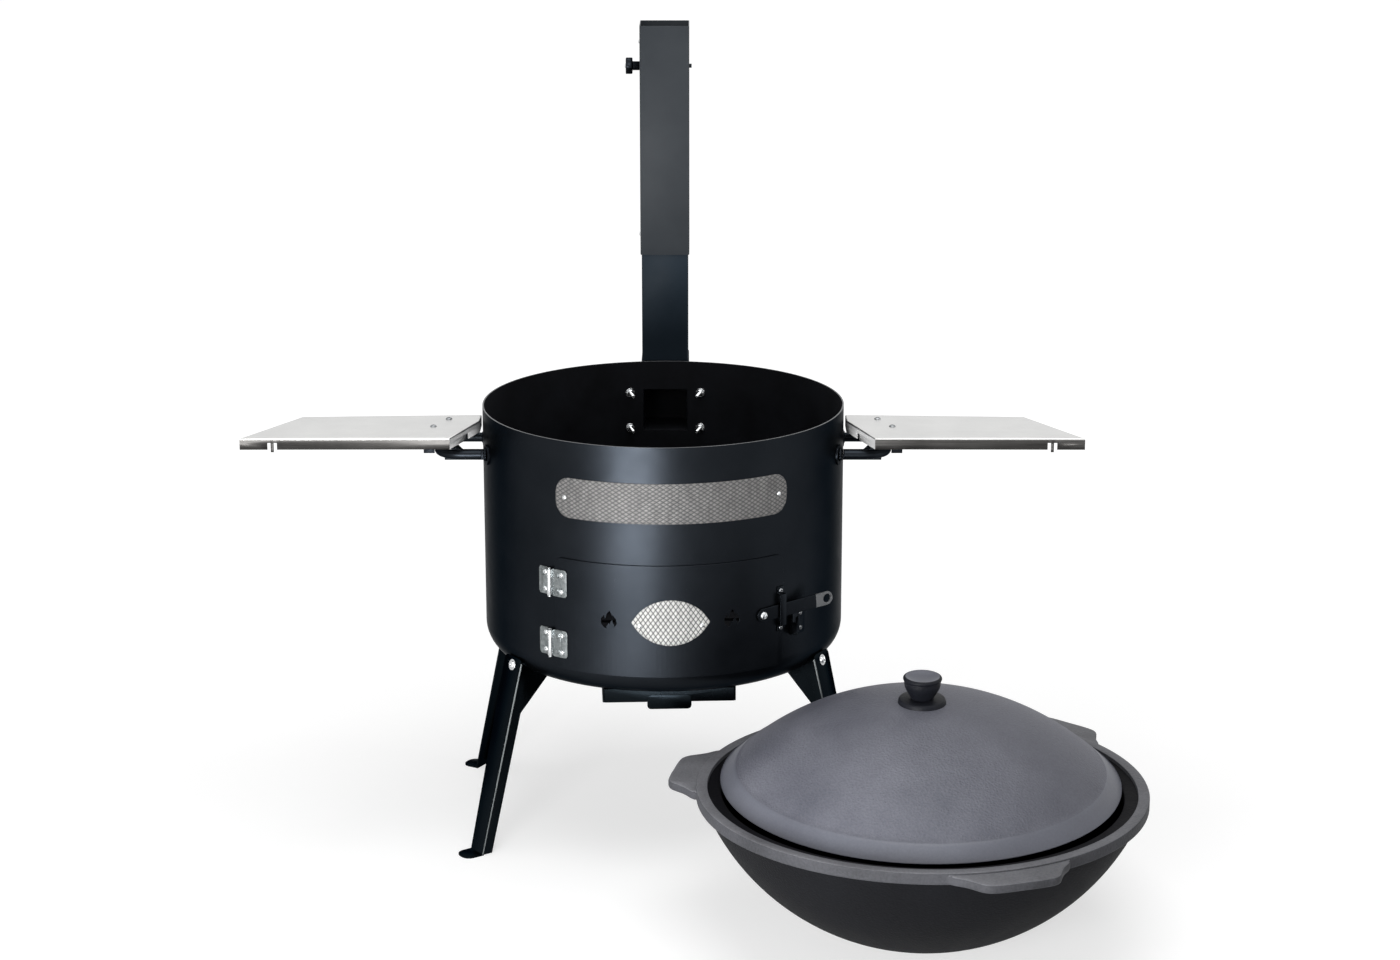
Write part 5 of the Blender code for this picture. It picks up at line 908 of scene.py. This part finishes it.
# Handles: a bent round bar with a pad and a weld bead at each end
def swept(points, radius, sides=24):
    """Round bar along a level path."""
    shape = bmesh.new()
    rings = []
    for index, point in enumerate(points):
        heading = (points[min(index + 1, len(points) - 1)] - points[max(index - 1, 0)]).normalized()
        across = heading.cross(UP)
        rings.append([shape.verts.new(point + radius * (cos(angle) * across + sin(angle) * UP))
                      for angle in turns(sides)])
    return close_rows(shape, rings)


def bead(radius, thick, steps=64, sides=10):
    """Ring of weld with the ripples of its pools."""
    shape = bmesh.new()
    rows = []
    for angle in turns(steps):
        pool = 1.0 + 0.16 * sin(11.0 * angle) + 0.07 * sin(5.0 * angle + 1.3)
        rows.append([spot_at(shape, radius + thick * pool * cos(turn), angle,
                             thick * pool * sin(turn)) for turn in turns(sides)])
    return close_rows(shape, rows, True)


HANDLE_Z, HANDLE_OUT, HANDLE_FRONT, HANDLE_BACK, HANDLE_BEND = 0.538, 0.308, -0.0695, 0.026, 0.032
for side, hand in SIDES:
    path = [(RADIUS - 0.0015, HANDLE_FRONT)]
    for y, first in ((HANDLE_FRONT + HANDLE_BEND, -90.0), (HANDLE_BACK - HANDLE_BEND, 0.0)):
        path += arc(HANDLE_OUT - HANDLE_BEND, y, HANDLE_BEND, first, 90.0, 16)
    path.append((RADIUS - 0.0015, HANDLE_BACK))
    parts = [swept([Vector((side * x, y, HANDLE_Z)) for x, y in path], 0.0065)]
    for y in (HANDLE_FRONT, HANDLE_BACK):
        aside = asin(y / RADIUS)
        pad = lathe([(0.0136, -0.0012), (0.014, -0.0008), (0.014, 0.0016), (0.0136, 0.002)], 40)
        pad.transform(wall_frame(side * (90.0 + degrees(aside)) - FRONT_TURN, PLATE, HANDLE_Z))
        ring = bead(0.0068, 0.0022)
        weld_x = side * (RADIUS * cos(aside) + 0.0024)
        ring.transform(turn_frame((weld_x, y, HANDLE_Z), (side, 0.0, 0.0)))
        parts += [pad, ring]
    skin("handle_" + hand, merge(parts), PAINT, "stove")


# Cauldron: its rim, that rim's inner face, the ledge for the lid, the sphere of its wall, and the lugs
POT = Vector((0.334998, -0.437002, 0.0))
RIM_R, RIM_TOP, RIM_SIDE = 0.289, 0.198, 0.015
FACE_R = RIM_R - 0.0145
LEDGE_R, LEDGE_Z = 0.257, 0.192
SPHERE, FOOT_R, POT_WALL = 0.303, 0.06, 0.006
POT_CENTRE = sqrt(SPHERE ** 2 - FOOT_R ** 2)
LUG_ROOT, LUG_TIP, LUG_HALF = RIM_R - 0.0128, 0.3255, 0.08
LUG_LOW, LUG_TOP = RIM_TOP - 0.0137, RIM_TOP - 0.0022
# Outline of a lug from root to tip, as shares of its run and of its half width
LUG_OUT = (0.0, 0.22, 0.42, 0.64, 0.84, 0.96, 1.0)
LUG_WIDE = (1.0, 0.93, 0.8, 0.7, 0.62, 0.5, 0.28)


def lug_line():
    """Outline of one lug as (angle from its middle, radius), smoothed."""
    points = [Vector((LUG_ROOT + (LUG_TIP - LUG_ROOT) * out, LUG_HALF * wide))
              for out, wide in zip(LUG_OUT, LUG_WIDE)]
    points.append(Vector((LUG_TIP, 0.0)))
    fine = []
    for index in range(len(points) - 1):
        before = points[max(index - 1, 0)]
        first, second = points[index], points[index + 1]
        after = points[min(index + 2, len(points) - 1)]
        for part in range(8):
            t = part / 8.0
            fine.append(0.5 * ((2.0 * first) + (second - before) * t
                               + (2.0 * before - 5.0 * first + 4.0 * second - after) * t * t
                               + (3.0 * first - before - 3.0 * second + after) * t * t * t))
    fine.append(points[-1])
    return [(atan2(p.y, p.x), p.length) for p in fine]


LUG_LINE = lug_line()


def lug_reach(angle):
    """Radius of the rim with its lugs at an angle."""
    best = RIM_R
    for middle in (-72.0, 48.0, 168.0):
        aside = abs((angle - radians(middle) + pi) % (2.0 * pi) - pi)
        for (a0, r0), (a1, r1) in zip(LUG_LINE, LUG_LINE[1:]):
            if a1 <= aside <= a0 and a0 > a1:
                best = max(best, r1 + (r0 - r1) * (aside - a1) / (a0 - a1))
    return best


def pot_shape():
    """Sphere-bottomed pot with a flat rim, an inner ledge and three flat lugs cast on."""
    rim_low = RIM_TOP - RIM_SIDE
    low_angle = atan2(-POT_CENTRE, FOOT_R)
    top_angle = asin((rim_low - POT_CENTRE) / SPHERE)
    top_r = SPHERE * cos(top_angle)
    inner = SPHERE - POT_WALL
    start_angle = -acos(LEDGE_R / inner)
    shape = bmesh.new()
    rows = []
    angles = turns(480)
    outs = [lug_reach(angle) - RIM_R for angle in angles]

    def rings(profile):
        for radius, height in profile:
            rows.append([spot_at(shape, radius, angle, height) for angle in angles])

    rings([(0.052, 0.0), (0.0588, 0.0006)])
    rings([(SPHERE * cos(angle), max(0.0011, POT_CENTRE + SPHERE * sin(angle)))
           for angle in between(low_angle, top_angle, 28)])
    rings([(top_r + share * (RIM_R - 0.0015 - top_r), rim_low - 0.0002) for share in (0.12, 0.45)])
    rings([(RIM_R - 0.0016, rim_low), (RIM_R - 0.0004, rim_low + 0.0005)])
    lug_points = ((0.0, 0.0, 0.0), (1.0, -0.003, 0.0), (1.0, -0.0009, 0.0009), (1.0, 0.0, 0.003),
                  (1.0, 0.0, -0.003), (1.0, -0.0009, -0.0009), (1.0, -0.003, 0.0), (0.0, 0.0, 0.0))
    for index, (share, back, lift) in enumerate(lug_points):
        level = LUG_LOW + (LUG_TOP - LUG_LOW) * index / 7.0
        base = LUG_LOW if index < 4 else LUG_TOP
        row = []
        for angle, out in zip(angles, outs):
            weight = min(1.0, out / 0.004)
            weight = weight * weight * (3.0 - 2.0 * weight)
            soft = min(1.0, out / 0.006)
            radius = RIM_R + max(0.0, share * out + back * soft)
            row.append(spot_at(shape, radius, angle, level + (base + lift * soft - level) * weight))
        rows.append(row)
    rings([(RIM_R, RIM_TOP - 0.0016), (RIM_R - 0.0005, RIM_TOP - 0.0005), (RIM_R - 0.0016, RIM_TOP),
           (FACE_R + 0.0012, RIM_TOP), (FACE_R + 0.0003, RIM_TOP - 0.0004), (FACE_R, RIM_TOP - 0.0013),
           (FACE_R, LEDGE_Z + 0.0008), (FACE_R - 0.0008, LEDGE_Z), (LEDGE_R + 0.001, LEDGE_Z),
           (LEDGE_R, LEDGE_Z - 0.001)])
    rings([(inner * cos(angle), min(LEDGE_Z - 0.0015, POT_CENTRE + inner * sin(angle)))
           for angle in between(start_angle, radians(-88.5), 28)])
    close_rows(shape, rows)
    shape.transform(Matrix.Translation(POT))
    return shape


def pot_finish(point, normal):
    """Paler top and side of the rim and its lugs, and painted shade inside and on the ledge."""
    radius = hypot(point.x - POT.x, point.y - POT.y)
    if point.z > LUG_LOW - 0.002 and radius > FACE_R - 0.0001:
        return 1 if normal.z > 0.6 else 3
    inside = (radius < FACE_R + 0.0001
              and radius ** 2 + (point.z - POT_CENTRE) ** 2 < (SPHERE - 0.5 * POT_WALL) ** 2)
    return 2 if inside or abs(point.z - LEDGE_Z) < 0.004 else 0


skin("cauldron_pot", pot_shape(), [IRON, IRON_RIM, IRON_INSIDE_SHADE, IRON_SIDE], "cauldron", "cast_iron",
     pick=pot_finish, sharp=50.0)

# Lid with a smooth border, a collar and a turned knob; it lies back on the ledge, a little tilted
LID_R, LID_HEIGHT, LID_WALL, LID_SHIFT = 0.258, 0.11, 0.005, 0.03
LEDGE_SINE, RIM_SINE = [(reach ** 2 - LID_R ** 2 - LID_SHIFT ** 2) / (2.0 * LID_SHIFT * LID_R)
                        for reach in (LEDGE_R, FACE_R)]
LID_SLOPE = 0.006 / (LID_R * (RIM_SINE - LEDGE_SINE))
LID_Z = LEDGE_Z - LID_R * LEDGE_SINE * LID_SLOPE + FIT
LID_PLACE = (Matrix.Translation(POT + Vector((0.0, LID_SHIFT, LID_Z)))
             @ Matrix.Rotation(atan(LID_SLOPE), 4, 'X'))
LID_BACK = LID_PLACE.inverted()
LID_BALL = (LID_R ** 2 + LID_HEIGHT ** 2) / (2.0 * LID_HEIGHT)
LID_DROP = LID_HEIGHT - LID_BALL
BAND_R = 0.238
COLLAR_TOP, KNOB_TOP = LID_HEIGHT + 0.004, LID_HEIGHT + 0.034


def dome(radius, angles):
    """Points of the lid's round at a radius from its centre."""
    return [(radius * cos(angle), LID_DROP + radius * sin(angle)) for angle in angles]


def lid_shape():
    """Shallow dome, its border band a little proud of the field."""
    low, band, high = [acos(radius / LID_BALL) for radius in (LID_R - 0.0006, BAND_R, 0.031)]
    inside = LID_BALL - LID_WALL
    points = [(LID_R - 0.003, 0.0002), (LID_R - 0.0008, 0.0006), (LID_R, 0.0018)]
    points += dome(LID_BALL, between(low, band, 6))
    points += dome(LID_BALL - 0.0007, between(band + 0.004, high, 32))
    points += [(0.03, COLLAR_TOP - 0.0016), (0.0294, COLLAR_TOP - 0.0005), (0.0282, COLLAR_TOP),
               (0.0043, COLLAR_TOP), (0.0043, LID_DROP + inside)]
    points += dome(inside, between(radians(90.0), asin(-LID_DROP / inside), 30)[1:])
    shape = lathe(points, 200, ring=True)
    shape.transform(LID_PLACE)
    return shape


def lid_finish(point, normal):
    """Smooth border band and dark collar."""
    spot = LID_BACK @ point
    radius = hypot(spot.x, spot.y)
    if radius < 0.0312 and normal.z > 0.0:
        return 2
    return 1 if radius > BAND_R - 0.0004 and normal.z > -0.2 else 0


skin("cauldron_lid", lid_shape(), [IRON_LID, BAND_IRON_AND_KNOB_HIGHLIGHT, IRON_KNOB], "lid", "cast_iron", pick=lid_finish,
     sharp=50.0)


def knob_shape():
    """Bowl-shaped knob with a dished top, its stud and the nut below."""
    low, top = COLLAR_TOP + FIT, KNOB_TOP
    inside = LID_BALL - LID_WALL
    nut_top = LID_DROP + inside * cos(asin(0.0085 / inside)) - FIT
    points = [(0.008, nut_top - 0.006), (0.0085, nut_top - 0.0055), (0.0085, nut_top), (0.004, nut_top),
              (0.004, low), (0.0142, low), (0.015, low + 0.0008)]
    for number in range(1, 13):
        share = number / 12.0
        points.append((0.015 + 0.0085 * sin(radians(90.0 * share)) ** 1.25,
                       low + 0.0008 + (top - 0.0085 - low - 0.0008) * share))
    points += arc(0.022, top - 0.003, 0.003, -60.0, 150.0, 12)
    points += [(0.02, top - 0.0004), (0.0175, top - 0.0016), (0.013, top - 0.003), (0.008, top - 0.0038),
               (0.003, top - 0.004)]
    shape = lathe(points, 72)
    shape.transform(LID_PLACE)
    return shape


def knob_finish(point, normal):
    """Smooth dished top, painted lighter as a highlight."""
    spot = LID_BACK @ point
    return 1 if spot.z > KNOB_TOP - 0.0045 and hypot(spot.x, spot.y) < 0.0222 else 0


skin("lid_knob", knob_shape(), [IRON_KNOB, BAND_IRON_AND_KNOB_HIGHLIGHT], "lid", "cast_iron", pick=knob_finish, sharp=42.0)

# Screw in the middle of the damper knob
place_all("damper_knob_screw", [pan_head(0.0036, 0.0016)],
          [turn_frame((-SLEEVE_HALF - FIT - 0.0201, FLUE_Y, 1.022), TO_LEFT)], "damper")


# Floor, world and lamps
def white_to_eye(tree, level, mirrored):
    """Strength that only the camera sees, and another for reflections and glass."""
    light = add(tree, "LightPath")
    glass = sums('MAXIMUM', light.outputs["Is Glossy Ray"], light.outputs["Is Transmission Ray"])
    direct = sums('MULTIPLY', light.outputs["Is Camera Ray"], level)
    return sums('MAXIMUM', direct, sums('MULTIPLY', glass, mirrored))


def lay_floor():
    """Plain pale floor; away from the stove it glows a little more, so that it is white where lamps end."""
    made, shader, place = start("pale_floor", roughness=0.9, specular=0.1)
    tone = noise(place, 3.0, 4.0)
    link = made.node_tree.links.new
    link(blend(tone, (0.46, 0.46, 0.46), (0.5, 0.5, 0.5)), shader.inputs["Base Color"])
    shader.inputs["Emission Color"].default_value = (1.0, 1.0, 1.0, 1.0)
    away = add(made.node_tree, "VectorMath", {0: place}, operation='LENGTH').outputs["Value"]
    glow = spread(away, 0.5, 2.6, FLOOR_NEAR, FLOOR_FAR)
    link(white_to_eye(made.node_tree, glow, FLOOR_MIRRORED), shader.inputs["Emission Strength"])
    shape = bmesh.new()
    bmesh.ops.create_grid(shape, x_segments=4, y_segments=4, size=14.0)
    mesh = mesh_of("floor", shape)
    mesh.materials.append(made)
    floor = add_object("floor", mesh)


def light_world():
    """Even light all round, white where the camera or a reflection looks."""
    world = bpy.data.worlds.new("studio")
    bpy.context.scene.world = world
    world.use_nodes = True
    tree = world.node_tree
    seen = white_to_eye(tree, 1.0 - WORLD, 1.0 - WORLD)
    tree.links.new(sums('ADD', seen, WORLD), tree.nodes["Background"].inputs["Strength"])
    tree.nodes["Background"].inputs["Color"].default_value = (1.0, 1.0, 1.0, 1.0)


def lamp(name, place, target, size, power):
    """Soft rectangular lamp."""
    data = bpy.data.lights.new(name, 'AREA')
    data.shape = 'RECTANGLE'
    data.size, data.size_y = size
    data.energy = power
    made = add_object(name, data)
    made.location = SHIFT @ Vector(place)
    heading = Vector(target) - Vector(place)
    made.rotation_euler = heading.to_track_quat('-Z', 'Y').to_euler()


FLOOR_NEAR, FLOOR_FAR, FLOOR_MIRRORED = 0.6, 0.85, 0.42
WORLD = 0.3
lay_floor()
light_world()
lamp("front", (-0.52, -1.72, 0.26), (0.0, 0.0, 0.42), (0.74, 0.42), 29.0)
lamp("key", (-1.35, -4.6, 1.6), (0.0, 0.0, 0.4), (1.0, 1.6), 30.0)
lamp("top", (0.3, -0.6, 4.2), (0.1, -0.1, 0.3), (3.0, 3.0), 85.0)
lamp("side", (3.6, -1.4, 1.3), (0.3, -0.4, 0.2), (1.0, 1.8), 12.0)

bpy.context.scene.view_settings.view_transform = 'Standard'
